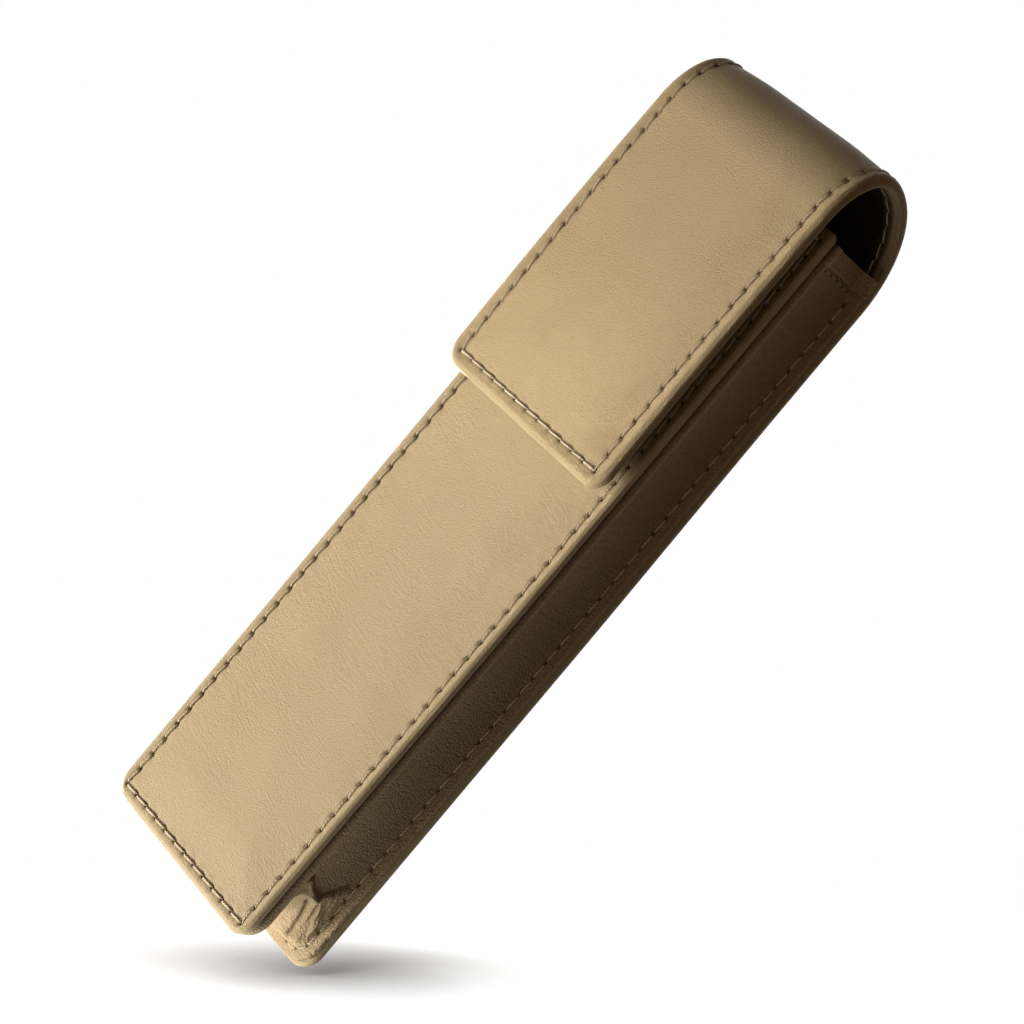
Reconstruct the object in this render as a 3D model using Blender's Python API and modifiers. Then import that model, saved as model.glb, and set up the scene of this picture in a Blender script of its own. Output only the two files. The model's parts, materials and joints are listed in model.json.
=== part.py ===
"""Double pen case: leather over board, standing upright with its flap closed.

Metres, +Z up. The front faces -Y, the width lies along X, and the case stands on Z = 0 with the
origin under the middle of its bounding box. The back panel, the crown over the mouth and the flap
are one wrap. The flap opens by unrolling the crown, which bends at four parallel fold lines.
"""

import math
from collections import namedtuple

import bmesh
import bpy
from mathutils import Matrix, Vector

MM = 0.001

# Driving sizes of the case
CASE_WIDTH = 47.0 * MM
PANEL_HEIGHT = 153.0 * MM
BODY_DEPTH = 19.0 * MM
FRONT_RISE = 13.0 * MM
BACK_RISE = 20.0 * MM
APEX_FROM_FLAP = 9.0 * MM
FLAP_DROP = 57.6 * MM
PANEL_CORNER = 3.2 * MM
MOUTH_CORNER = 1.6 * MM
FLAP_CORNER = 4.2 * MM
EDGE_ROUND = 0.6 * MM
TURNED_RIM = 2.0 * MM

# Layers of the front panel, and of the wrap that makes the back, the crown and the flap
PANEL_LEATHER = 0.8 * MM
PANEL_BOARD = 0.6 * MM
PANEL_LINING = 0.5 * MM
WRAP_LEATHER = 0.9 * MM
WRAP_BOARD = 0.7 * MM
WRAP_LINING = 0.6 * MM

# Gusset: a recessed wall with flanges that are sewn to the two panels
GUSSET_WALL = 0.8 * MM
FLANGE_REACH = 3.3 * MM
FLANGE_SETBACK = 0.3 * MM
FRONT_FOLD = 1.6 * MM
BACK_FLANGE = 0.8 * MM
BASE_BEND = 2.0 * MM
MOUTH_DROP = 1.3 * MM
HEM_HEIGHT = 3.5 * MM
HEM_WALL = 1.3 * MM

# Divider between the two pen pockets
DIVIDER_WALL = 1.2 * MM
DIVIDER_DROP = 12.0 * MM
DIVIDER_CHAMFER = 0.3 * MM

# Seams
STITCH_INSET = 3.0 * MM
SEAM_CORNER = 1.0 * MM
THREAD_RADIUS = 0.22 * MM
THREAD_DEPTH = 0.25 * MM

# Magnetic snap between the flap and the front panel
SNAP_FROM_EDGE = 17.0 * MM
CUP_RADIUS = 6.5 * MM
CUP_WALL = 0.5 * MM
CUP_FLOOR = 0.4 * MM
CUP_HEIGHT = 1.5 * MM
MAGNET_BORE = 2.9 * MM
STUD_RADIUS = 6.0 * MM
STUD_PLATE = 0.8 * MM
STEM_RADIUS = 1.5 * MM
NOSE_CHAMFER = 0.4 * MM
WASHER_RADIUS = 6.0 * MM
WASHER_WALL = 0.5 * MM

# Fold lines of the crown
FOLDS = 4

# Clearances
LAYER_GAP = 0.15 * MM
SEAM_GAP = 0.12 * MM
FOLD_GAP = 0.3 * MM
FACE_GAP = 0.1 * MM
SNAP_GAP = 0.4 * MM
NOSE_GAP = 0.4 * MM

# How finely round shapes are divided
CORNER_STEPS = 6
EDGE_STEPS = 3
ARC_STEP = 5.0
TURNED_STEPS = 24
GROOVE_STEPS = 6
TIP_STEPS = 4
BEND_STEPS = 8
SMALLEST_CORNER = 0.5 * MM
SHARP_TURN = 50.0
SAME_WAY = 1e-6
FINEST_TURN = 0.001
HALF_STEP = 0.05
WELD = 0.01 * MM
CUTTER_RUN = 1.0 * MM
CUTTER_DEPTH = 10.0 * MM
FOLD_RUN = 2.0 * MM
EMPTY_SIZE = 5.0 * MM

# Sizes that follow from those above
PANEL_WALL = PANEL_LEATHER + PANEL_BOARD + PANEL_LINING + 2 * LAYER_GAP
WRAP_WALL = WRAP_LEATHER + WRAP_BOARD + WRAP_LINING + 2 * LAYER_GAP
SNAP_STACK = 2 * FACE_GAP + CUP_HEIGHT + SNAP_GAP + STUD_PLATE
FLAP_STAND_OFF = WRAP_WALL + SNAP_STACK
TOTAL_DEPTH = BODY_DEPTH + FLAP_STAND_OFF
FLAP_FACE = -TOTAL_DEPTH / 2
FRONT_FACE = FLAP_FACE + FLAP_STAND_OFF
BACK_FACE = TOTAL_DEPTH / 2
FRONT_INSIDE = FRONT_FACE + PANEL_WALL
BACK_INSIDE = BACK_FACE - WRAP_WALL
CROWN_TOP = PANEL_HEIGHT + FRONT_RISE
BACK_SPRING = CROWN_TOP - BACK_RISE
APEX_Y = FLAP_FACE + APEX_FROM_FLAP
FLAP_EDGE = PANEL_HEIGHT - FLAP_DROP
MOUTH = PANEL_HEIGHT - MOUTH_DROP
GUSSET_X = CASE_WIDTH / 2 - FLANGE_SETBACK - FLANGE_REACH
BASE_Z = FLANGE_SETBACK + FLANGE_REACH
SNAP_Z = FLAP_EDGE + SNAP_FROM_EDGE
LAYER_INSET = TURNED_RIM + LAYER_GAP

LEATHER_COLOUR = (0.56, 0.42, 0.24)
GUSSET_COLOUR = (0.50, 0.37, 0.21)
LINING_COLOUR = (0.035, 0.028, 0.022)
BOARD_COLOUR = (0.42, 0.38, 0.32)
THREAD_COLOUR = (0.66, 0.55, 0.36)
BRASS_COLOUR = (0.70, 0.55, 0.28)
MAGNET_COLOUR = (0.10, 0.10, 0.11)
STEEL_COLOUR = (0.55, 0.55, 0.56)

Row = namedtuple("Row", "y z out_y out_z half")


def clear_scene():
    for obj in list(bpy.data.objects):
        bpy.data.objects.remove(obj, do_unlink=True)


def new_collection(name):
    collection = bpy.data.collections.new(name)
    bpy.context.scene.collection.children.link(collection)
    return collection


def finish(name, colour, roughness, metallic=0.0):
    """A Principled material, made once under its name."""
    material = bpy.data.materials.get(name) or bpy.data.materials.new(name)
    material.use_nodes = True
    shader = material.node_tree.nodes["Principled BSDF"]
    shader.inputs["Base Color"].default_value = (*colour, 1.0)
    shader.inputs["Roughness"].default_value = roughness
    shader.inputs["Metallic"].default_value = metallic
    material.diffuse_color = (*colour, 1.0)
    return material


def rounded_end(edge_z, inward, half, radius):
    """Heights and half widths of a rounded end, from its edge inward."""
    turns = [math.radians(90 * step / CORNER_STEPS) for step in range(CORNER_STEPS + 1)]
    return [
        (edge_z + inward * radius * (1 - math.cos(turn)), half - radius * (1 - math.sin(turn)))
        for turn in turns
    ]


def inset_corner(radius, inset):
    return max(radius - inset, SMALLEST_CORNER)


def on_face(face_y, outward, ends):
    return [Row(face_y, z, outward, 0.0, half) for z, half in ends]


def arch_point(turn):
    """Point on the wrap where it has turned by so many degrees, from 0 up the back to 180 down the front.

    Each side of the arch is a quarter of an ellipse, and both have a level tangent at the top.
    """
    angle = math.radians(turn)
    if turn <= 90:
        reach, rise = BACK_FACE - APEX_Y, BACK_RISE
        place = math.atan2(rise * math.sin(angle), reach * math.cos(angle))
        return APEX_Y + reach * math.cos(place), BACK_SPRING + rise * math.sin(place)
    reach, rise = APEX_FROM_FLAP, FRONT_RISE
    place = math.atan2(rise * math.sin(angle), -reach * math.cos(angle))
    return APEX_Y - reach * math.cos(place), PANEL_HEIGHT + rise * math.sin(place)


def turn_along(turn, distance):
    """The turn at a small distance further along the arch."""
    (y0, z0), (y1, z1) = arch_point(turn - HALF_STEP), arch_point(turn + HALF_STEP)
    return turn + distance * 2 * HALF_STEP / math.hypot(y1 - y0, z1 - z0)


def arch_rows(start, end, half):
    count = max(1, math.ceil((end - start) / ARC_STEP))
    turns = [start + (end - start) * step / count for step in range(count + 1)]
    return [
        Row(*arch_point(turn), math.cos(math.radians(turn)), math.sin(math.radians(turn)), half)
        for turn in turns
    ]


def fold_turn(index):
    """The turn at which a fold line lies. The folds share the half turn evenly."""
    return (index + 0.5) * 180 / FOLDS


def front_rows(inset=0.0, corner=None):
    """Rows of the front panel, going down."""
    half = CASE_WIDTH / 2 - inset
    top = corner or inset_corner(MOUTH_CORNER, inset)
    bottom = corner or inset_corner(PANEL_CORNER, inset)
    ends = rounded_end(PANEL_HEIGHT - inset, -1, half, top)
    ends += rounded_end(inset, 1, half, bottom)[::-1]
    return on_face(FRONT_FACE, -1, ends)


def back_flat_rows(inset=0.0, corner=None):
    half = CASE_WIDTH / 2 - inset
    return on_face(BACK_FACE, 1, rounded_end(inset, 1, half, corner or inset_corner(PANEL_CORNER, inset)))


def back_rows(inset=0.0, corner=None):
    """Rows of the back panel, going up as far as the first fold."""
    end = turn_along(fold_turn(0), -FOLD_GAP / 2)
    return back_flat_rows(inset, corner) + arch_rows(0, end, CASE_WIDTH / 2 - inset)


def crown_rows(index, inset=0.0):
    """Rows of the crown between two folds."""
    start = turn_along(fold_turn(index), FOLD_GAP / 2)
    end = turn_along(fold_turn(index + 1), -FOLD_GAP / 2)
    return arch_rows(start, end, CASE_WIDTH / 2 - inset)


def flap_flat_rows(inset=0.0, corner=None):
    half = CASE_WIDTH / 2 - inset
    corner = corner or inset_corner(FLAP_CORNER, inset)
    return on_face(FLAP_FACE, -1, rounded_end(FLAP_EDGE + inset, 1, half, corner)[::-1])


def flap_rows(inset=0.0, corner=None):
    """Rows of the flap, from the last fold down."""
    start = turn_along(fold_turn(FOLDS - 1), FOLD_GAP / 2)
    return arch_rows(start, 180, CASE_WIDTH / 2 - inset) + flap_flat_rows(inset, corner)


def run_on(rows, before=0.0, after=0.0):
    """The rows with a straight stretch added before the first of them, or after the last."""
    longer = list(rows)
    if before:
        longer.insert(0, moved_along(rows[0], -before))
    if after:
        longer.append(moved_along(rows[-1], after))
    return longer


def moved_along(row, distance):
    return row._replace(y=row.y - distance * row.out_z, z=row.z + distance * row.out_y)


def add_mesh_object(name, bm, collection, material):
    mesh = bpy.data.meshes.new(name)
    bm.to_mesh(mesh)
    bm.free()
    obj = bpy.data.objects.new(name, mesh)
    collection.objects.link(obj)
    if material:
        mesh.materials.append(material)
    return obj


def runs_of(rows):
    """The rows' numbers in runs that make one face each: a whole flat stretch, or two rows of the arch."""
    runs = [[0, 1]]
    for number in range(2, len(rows)):
        first, row = rows[runs[-1][0]], rows[number]
        if math.hypot(row.out_y - first.out_y, row.out_z - first.out_z) < SAME_WAY:
            runs[-1].append(number)
        else:
            runs.append([number - 1, number])
    return runs


def sheet(name, rows, depth, thickness, collection, material=None, rounding=0.0):
    """A layer of the wrap or of a panel: a surface through the rows at this depth, given a thickness inward."""
    bm = bmesh.new()
    right, left = [], []
    for row in rows:
        y, z = row.y - depth * row.out_y, row.z - depth * row.out_z
        right.append(bm.verts.new((row.half, y, z)))
        left.append(bm.verts.new((-row.half, y, z)))
    for run in runs_of(rows):
        bm.faces.new([left[number] for number in run] + [right[number] for number in reversed(run)])
    obj = add_mesh_object(name, bm, collection, material)
    solidify = obj.modifiers.new("thickness", "SOLIDIFY")
    solidify.thickness = thickness
    solidify.offset = -1
    solidify.use_even_offset = True
    if rounding:
        bevel = obj.modifiers.new("rounded_edges", "BEVEL")
        bevel.width = rounding
        bevel.segments = EDGE_STEPS
        bevel.limit_method = "ANGLE"
        bevel.angle_limit = math.radians(SHARP_TURN)
    obj.data.shade_smooth()
    return obj


def only_in(obj, collection):
    for owner in obj.users_collection:
        owner.objects.unlink(obj)
    collection.objects.link(obj)


def as_cutter(obj):
    obj.hide_render = True
    obj.display_type = "WIRE"
    return obj


def cut(obj, cutter):
    boolean = obj.modifiers.new("cut_" + cutter.name, "BOOLEAN")
    boolean.operation = "DIFFERENCE"
    boolean.object = cutter


def tray(name, rows, pocket_rows, wall, leather, parts, cutters, material):
    """Leather turned over its edges: full depth at the rim, and a pocket behind its face for board and lining."""
    obj = sheet(name, rows, 0.0, wall, parts, material, EDGE_ROUND)
    pocket = sheet(name + "_pocket", pocket_rows, leather, wall - leather + CUTTER_RUN, cutters)
    cut(obj, as_cutter(pocket))
    return obj


def wrap_tray(name, rows, pocket_rows, fold, way, parts, cutters, material):
    """A tray that is made past the fold it ends at, and cut off there square to its face.

    The fold is at the end of the rows for way 1, and at their start for way -1.
    """
    before, after = (0.0, FOLD_RUN) if way == 1 else (FOLD_RUN, 0.0)
    obj = tray(
        name,
        run_on(rows, before, after),
        run_on(pocket_rows, before, after),
        WRAP_WALL,
        WRAP_LEATHER,
        parts,
        cutters,
        material,
    )
    cut(obj, block_past_fold(name + "_end", fold, way, cutters))
    return obj


def block_past_fold(name, index, way, collection):
    """A block that starts half a gap short of a fold and runs on past it, up the turn for way 1."""
    turn = math.radians(fold_turn(index))
    length = 2 * FOLD_RUN
    bpy.ops.mesh.primitive_cube_add(size=1.0)
    obj = bpy.context.object
    obj.name = name
    obj.data.transform(Matrix.Diagonal((CASE_WIDTH + 2 * CUTTER_RUN, CUTTER_DEPTH, length, 1.0)))
    obj.rotation_euler = (turn, 0.0, 0.0)
    along = Vector((0.0, -math.sin(turn), math.cos(turn)))
    obj.location = Vector((0.0, *arch_point(fold_turn(index)))) + along * way * (length - FOLD_GAP) / 2
    only_in(obj, collection)
    return as_cutter(obj)


def seam_side(rows, side):
    """Points of a seam along one side of the rows: the right for side 1, the left for side -1."""
    return [
        (side * row.half, row.y - THREAD_DEPTH * row.out_y, row.z - THREAD_DEPTH * row.out_z)
        for row in rows
    ]


def seam_round(rows):
    """Points of a seam down the right side of the rows and back up the left side."""
    return seam_side(rows, 1) + seam_side(rows, -1)[::-1]


def tube(name, route, radius, closed, collection, material=None):
    curve = bpy.data.curves.new(name, "CURVE")
    curve.dimensions = "3D"
    curve.bevel_depth = radius
    curve.bevel_resolution = 1
    curve.use_fill_caps = not closed
    spline = curve.splines.new("POLY")
    spline.points.add(len(route) - 1)
    for point, place in zip(spline.points, route):
        point.co = (*place, 1.0)
    spline.use_cyclic_u = closed
    obj = bpy.data.objects.new(name, curve)
    collection.objects.link(obj)
    if material:
        curve.materials.append(material)
    return obj


def as_mesh(obj):
    """The object as a mesh with its caps welded, in place of the curve."""
    bpy.context.view_layer.update()
    evaluated = obj.evaluated_get(bpy.context.evaluated_depsgraph_get())
    mesh = bpy.data.meshes.new_from_object(evaluated)
    bm = bmesh.new()
    bm.from_mesh(mesh)
    bmesh.ops.remove_doubles(bm, verts=bm.verts, dist=WELD)
    bm.to_mesh(mesh)
    bm.free()
    name, collection, place = obj.name, obj.users_collection[0], obj.matrix_world.copy()
    bpy.data.objects.remove(obj, do_unlink=True)
    made = bpy.data.objects.new(name, mesh)
    made.matrix_world = place
    collection.objects.link(made)
    return made


def seam(name, leather, thread_route, groove_route, closed, parts, cutters, material):
    """A sewing thread sunk in the groove that it pulls into the leather."""
    groove = tube(name + "_groove", groove_route, THREAD_RADIUS + SEAM_GAP, closed, cutters)
    cut(leather, as_cutter(as_mesh(groove)))
    return tube(name, thread_route, THREAD_RADIUS, closed, parts, material)


def flange_tip(y_centre, reach, radius, start, end):
    """Points round a flange's tip, as outward distance and depth."""
    turns = [start + (end - start) * step / TIP_STEPS for step in range(TIP_STEPS + 1)]
    return [
        (reach - radius + radius * math.cos(math.radians(turn)), y_centre + radius * math.sin(math.radians(turn)))
        for turn in turns
    ]


def channel_outline(wall, back=BACK_INSIDE - LAYER_GAP):
    """The gusset's section: outward distance from the wall's inner side, and depth.

    The wall joins a folded front flange, whose tip is fully round, to a single back flange.
    """
    front = FRONT_INSIDE + LAYER_GAP
    outline = [(0.0, front)]
    outline += flange_tip(front + FRONT_FOLD / 2, FLANGE_REACH, FRONT_FOLD / 2, -90, 90)
    outline += [(wall, front + FRONT_FOLD), (wall, back - BACK_FLANGE)]
    outline += flange_tip(back - BACK_FLANGE / 2, FLANGE_REACH, BACK_FLANGE / 2, -90, 90)
    outline += [(0.0, back)]
    return outline


def loft(name, sections, collection, material):
    """One solid through sections that have the same number of points, closed at both ends."""
    bm = bmesh.new()
    loops = [[bm.verts.new(point) for point in section] for section in sections]
    for loop, following in zip(loops, loops[1:]):
        for number, vert in enumerate(loop):
            bm.faces.new((loop[number - 1], vert, following[number], following[number - 1]))
    bm.faces.new(loops[0])
    bm.faces.new(loops[-1][::-1])
    bmesh.ops.recalc_face_normals(bm, faces=bm.faces)
    obj = add_mesh_object(name, bm, collection, material)
    obj.data.shade_smooth()
    obj.data.set_sharp_from_angle(angle=math.radians(SHARP_TURN))
    return obj


def inside_of_back(z):
    """How far back the wrap's lining lies at this height."""
    low, high = 0.0, 90.0
    while high - low > FINEST_TURN:
        turn = (low + high) / 2
        if arch_point(turn)[1] - WRAP_WALL * math.sin(math.radians(turn)) < z:
            low = turn
        else:
            high = turn
    return arch_point(low)[0] - WRAP_WALL * math.cos(math.radians(low))


def gusset_side(name, side, wall, bottom, top, collection, material):
    """A side wall of the gusset, on the right for side 1 and on the left for side -1."""
    sections = [
        [
            (side * (GUSSET_X + out), y, z)
            for out, y in channel_outline(wall, inside_of_back(z) - LAYER_GAP)
        ]
        for z in (bottom, top)
    ]
    return loft(name, sections, collection, material)


def gusset_base(name, half_length, collection, material):
    sections = [
        [(x, y, BASE_Z - out) for out, y in channel_outline(GUSSET_WALL)]
        for x in (-half_length, half_length)
    ]
    return loft(name, sections, collection, material)


def gusset_corner(name, side, collection, material):
    """The gusset's section swept round the base corner."""
    centre_x, centre_z = side * (GUSSET_X - BASE_BEND), BASE_Z + BASE_BEND
    sections = []
    for step in range(BEND_STEPS + 1):
        turn = math.radians(90 * step / BEND_STEPS)
        sections.append([
            (
                centre_x + side * (BASE_BEND + out) * math.cos(turn),
                y,
                centre_z - (BASE_BEND + out) * math.sin(turn),
            )
            for out, y in channel_outline(GUSSET_WALL)
        ])
    return loft(name, sections, collection, material)


def turned(name, profile, face_y, outward, collection, material, ring=False):
    """A profile of radius and height turned about the snap's axis, standing out from a face."""
    bm = bmesh.new()
    verts = [bm.verts.new((radius, 0.0, height)) for radius, height in profile]
    for first, second in zip(verts, verts[1:]):
        bm.edges.new((first, second))
    if ring:
        bm.edges.new((verts[-1], verts[0]))
    obj = add_mesh_object(name, bm, collection, material)
    obj.location = (0.0, face_y, SNAP_Z)
    obj.rotation_euler = (math.radians(-90 * outward), 0.0, 0.0)
    screw = obj.modifiers.new("turned", "SCREW")
    screw.angle = math.radians(360)
    screw.steps = screw.render_steps = TURNED_STEPS
    screw.use_merge_vertices = True
    screw.merge_threshold = WELD
    obj.data.shade_smooth()
    return obj


def ring_profile(inner, outer, bottom, top):
    return [(inner, top), (outer, top), (outer, bottom), (inner, bottom)]


def snap_hole(name, radius, near, far, collection):
    """A round cutter along Y at the snap's axis."""
    bpy.ops.mesh.primitive_cylinder_add(
        vertices=TURNED_STEPS,
        radius=radius,
        depth=far - near,
        location=(0.0, (near + far) / 2, SNAP_Z),
        rotation=(math.radians(90), 0.0, 0.0),
    )
    obj = bpy.context.object
    obj.name = name
    only_in(obj, collection)
    return as_cutter(obj)


def make_front_panel(parts, cutters, leather, board, lining, thread):
    """The front panel: leather turned over a board, with a lining behind."""
    face = tray(
        "front_leather",
        front_rows(),
        front_rows(TURNED_RIM),
        PANEL_WALL,
        PANEL_LEATHER,
        parts,
        cutters,
        leather,
    )
    route = seam_round(front_rows(STITCH_INSET, SEAM_CORNER))
    seam("front_seam_thread", face, route, route, True, parts, cutters, thread)
    board_depth = PANEL_LEATHER + LAYER_GAP
    stiffener = sheet("front_board", front_rows(LAYER_INSET), board_depth, PANEL_BOARD, parts, board)
    lining_depth = board_depth + PANEL_BOARD + LAYER_GAP
    sheet("front_lining", front_rows(LAYER_INSET), lining_depth, PANEL_LINING, parts, lining)
    return face, stiffener


def make_back_panel(parts, cutters, leather, board, lining, thread):
    """The back panel, which runs up into the crown as far as the first fold."""
    face = wrap_tray("back_leather", back_rows(), back_rows(TURNED_RIM), 0, 1, parts, cutters, leather)
    seam_rows = back_rows(STITCH_INSET, SEAM_CORNER)
    groove_rows = run_on(seam_rows, after=FOLD_RUN)
    seam(
        "back_seam_thread",
        face,
        seam_round(seam_rows[::-1]),
        seam_round(groove_rows[::-1]),
        False,
        parts,
        cutters,
        thread,
    )
    board_depth = WRAP_LEATHER + LAYER_GAP
    board_rows = back_flat_rows(LAYER_INSET) + arch_rows(0, 0, CASE_WIDTH / 2 - LAYER_INSET)[:1]
    sheet("back_board", board_rows, board_depth, WRAP_BOARD, parts, board)
    lining_depth = board_depth + WRAP_BOARD + LAYER_GAP
    sheet("back_lining", back_rows(LAYER_INSET), lining_depth, WRAP_LINING, parts, lining)


def arc(centre, radius, start, end, steps):
    """Points of an arc in the plane of width and depth, between two angles in degrees."""
    turns = [math.radians(start + (end - start) * step / steps) for step in range(steps + 1)]
    return [(centre[0] + radius * math.cos(turn), centre[1] + radius * math.sin(turn)) for turn in turns]


def crown_section():
    """The crown leather across its width, as distance from the middle and depth under its face.

    Both edges are rounded, the back has a pocket for the layers behind, and the face has a groove
    for each seam.
    """
    half, groove = CASE_WIDTH / 2, THREAD_RADIUS + SEAM_GAP
    rim = half - EDGE_ROUND
    dip = math.degrees(math.asin(THREAD_DEPTH / groove))
    right = arc((half - STITCH_INSET, THREAD_DEPTH), groove, 180 + dip, -dip, GROOVE_STEPS)
    right += arc((rim, EDGE_ROUND), EDGE_ROUND, -90, 0, EDGE_STEPS)
    right += arc((rim, WRAP_WALL - EDGE_ROUND), EDGE_ROUND, 0, 90, EDGE_STEPS)
    right += [(half - TURNED_RIM, WRAP_WALL), (half - TURNED_RIM, WRAP_LEATHER)]
    return right + [(-x, depth) for x, depth in reversed(right)]


def make_crown(index, parts, leather, board, lining, thread):
    """One stretch of the crown between two folds: three layers, and a seam along each side."""
    number = str(index + 1)
    sections = [
        [(x, row.y - depth * row.out_y, row.z - depth * row.out_z) for x, depth in crown_section()]
        for row in crown_rows(index)
    ]
    face = loft("crown_leather_" + number, sections, parts, leather)
    seam_rows = crown_rows(index, STITCH_INSET)
    threads = [
        tube(
            "crown_seam_thread_" + number + "_" + word,
            seam_side(seam_rows, side),
            THREAD_RADIUS,
            False,
            parts,
            thread,
        )
        for side, word in ((1, "right"), (-1, "left"))
    ]
    board_depth = WRAP_LEATHER + LAYER_GAP
    rows = crown_rows(index, LAYER_INSET)
    filler = sheet("crown_reinforcement_" + number, rows, board_depth, WRAP_BOARD, parts, board)
    lining_depth = board_depth + WRAP_BOARD + LAYER_GAP
    inner = sheet("crown_lining_" + number, rows, lining_depth, WRAP_LINING, parts, lining)
    return [face, filler, inner, *threads]


def make_flap(parts, cutters, leather, board, lining, thread):
    """The flap: leather turned over a board, with a lining against the case."""
    face = wrap_tray(
        "flap_leather", flap_rows(), flap_rows(TURNED_RIM), FOLDS - 1, -1, parts, cutters, leather
    )
    seam_rows = flap_rows(STITCH_INSET, SEAM_CORNER)
    stitches = seam(
        "flap_seam_thread",
        face,
        seam_round(seam_rows),
        seam_round(run_on(seam_rows, before=FOLD_RUN)),
        False,
        parts,
        cutters,
        thread,
    )
    board_depth = WRAP_LEATHER + LAYER_GAP
    board_rows = arch_rows(180, 180, CASE_WIDTH / 2 - LAYER_INSET)[:1] + flap_flat_rows(LAYER_INSET)
    stiffener = sheet("flap_board", board_rows, board_depth, WRAP_BOARD, parts, board)
    lining_depth = board_depth + WRAP_BOARD + LAYER_GAP
    inner = sheet("flap_lining", flap_rows(LAYER_INSET), lining_depth, WRAP_LINING, parts, lining)
    return face, stiffener, inner, stitches


def make_gusset(parts, leather):
    """The gusset as its two side walls, its base, the two bent corners and the hems at the mouth."""
    bend_end = BASE_Z + BASE_BEND
    hem_bottom = MOUTH - HEM_HEIGHT
    for side, word in ((1, "right"), (-1, "left")):
        wall_bottom, wall_top = bend_end + LAYER_GAP, hem_bottom - LAYER_GAP
        gusset_side("gusset_" + word, side, GUSSET_WALL, wall_bottom, wall_top, parts, leather)
        gusset_side("gusset_hem_" + word, side, HEM_WALL, hem_bottom, MOUTH, parts, leather)
        gusset_corner("gusset_corner_" + word, side, parts, leather)
    gusset_base("gusset_base", GUSSET_X - BASE_BEND - LAYER_GAP, parts, leather)


def make_divider(parts, lining):
    """The tongue between the two pen pockets."""
    near, far = FRONT_INSIDE + LAYER_GAP, BACK_INSIDE - LAYER_GAP
    bottom, top = BASE_Z + LAYER_GAP, MOUTH - DIVIDER_DROP
    bpy.ops.mesh.primitive_cube_add(size=1.0)
    obj = bpy.context.object
    obj.name = "pocket_divider"
    obj.data.transform(Matrix.Diagonal((DIVIDER_WALL, far - near, top - bottom, 1.0)))
    obj.location = (0.0, (near + far) / 2, (bottom + top) / 2)
    only_in(obj, parts)
    obj.data.materials.append(lining)
    bevel = obj.modifiers.new("rounded_edges", "BEVEL")
    bevel.width = DIVIDER_CHAMFER
    bevel.segments = 1


def make_front_snap(parts, cutters, front_leather, front_board, brass, magnet, steel):
    """The snap's cup and ring magnet on the front panel, riveted to a washer behind the leather."""
    seat = FRONT_FACE - FACE_GAP
    stem = FACE_GAP + PANEL_LEATHER + LAYER_GAP + WASHER_WALL
    turned(
        "snap_cup",
        [
            (0.0, CUP_FLOOR),
            (CUP_RADIUS - CUP_WALL, CUP_FLOOR),
            (CUP_RADIUS - CUP_WALL, CUP_HEIGHT),
            (CUP_RADIUS, CUP_HEIGHT),
            (CUP_RADIUS, 0.0),
            (STEM_RADIUS, 0.0),
            (STEM_RADIUS, -stem),
            (0.0, -stem),
        ],
        seat,
        -1,
        parts,
        brass,
    )
    magnet_outside = CUP_RADIUS - CUP_WALL - LAYER_GAP
    ring = ring_profile(MAGNET_BORE, magnet_outside, CUP_FLOOR + FACE_GAP, CUP_HEIGHT - FACE_GAP)
    turned("snap_magnet", ring, seat, -1, parts, magnet, ring=True)
    washer_face = FRONT_FACE + PANEL_LEATHER + LAYER_GAP
    washer = ring_profile(STEM_RADIUS + LAYER_GAP, WASHER_RADIUS, -WASHER_WALL, 0.0)
    turned("snap_front_washer", washer, washer_face, -1, parts, steel, ring=True)
    near, far = FRONT_FACE - CUTTER_RUN, FRONT_INSIDE + CUTTER_RUN
    cut(front_leather, snap_hole("front_stem_hole", STEM_RADIUS + LAYER_GAP, near, far, cutters))
    cut(front_board, snap_hole("front_washer_hole", WASHER_RADIUS + LAYER_GAP, near, far, cutters))


def make_flap_snap(parts, cutters, flap_board, flap_lining, brass, steel):
    """The snap's stud on the flap's lining, riveted to a washer inside the flap."""
    inside = FLAP_FACE + WRAP_WALL
    seat = inside + FACE_GAP
    lining_stack = WRAP_LINING + LAYER_GAP
    stem = FACE_GAP + lining_stack + WASHER_WALL
    nose_radius = MAGNET_BORE - NOSE_GAP
    nose_tip = STUD_PLATE + SNAP_GAP + CUP_HEIGHT - CUP_FLOOR - NOSE_GAP
    stud = turned(
        "snap_stud",
        [
            (0.0, nose_tip),
            (nose_radius - NOSE_CHAMFER, nose_tip),
            (nose_radius, nose_tip - NOSE_CHAMFER),
            (nose_radius, STUD_PLATE),
            (STUD_RADIUS, STUD_PLATE),
            (STUD_RADIUS, 0.0),
            (STEM_RADIUS, 0.0),
            (STEM_RADIUS, -stem),
            (0.0, -stem),
        ],
        seat,
        1,
        parts,
        brass,
    )
    washer_face = inside - lining_stack
    washer = ring_profile(STEM_RADIUS + LAYER_GAP, WASHER_RADIUS, -WASHER_WALL, 0.0)
    hidden = turned("snap_flap_washer", washer, washer_face, 1, parts, steel, ring=True)
    near, far = FLAP_FACE - CUTTER_RUN, inside + CUTTER_RUN
    cut(flap_lining, snap_hole("flap_stem_hole", STEM_RADIUS + LAYER_GAP, near, far, cutters))
    cut(flap_board, snap_hole("flap_washer_hole", WASHER_RADIUS + LAYER_GAP, near, far, cutters))
    return stud, hidden


def fold_empties(collection):
    """An empty on each fold line, each carried by the one before it."""
    empties = []
    for index in range(FOLDS):
        empty = bpy.data.objects.new("fold_" + str(index + 1), None)
        empty.empty_display_size = EMPTY_SIZE
        place = Vector((0.0, *arch_point(fold_turn(index))))
        collection.objects.link(empty)
        if empties:
            empty.parent = empties[-1]
            place -= empties[-1].matrix_world.translation
        empty.location = place
        bpy.context.view_layer.update()
        empties.append(empty)
    return empties


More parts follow.
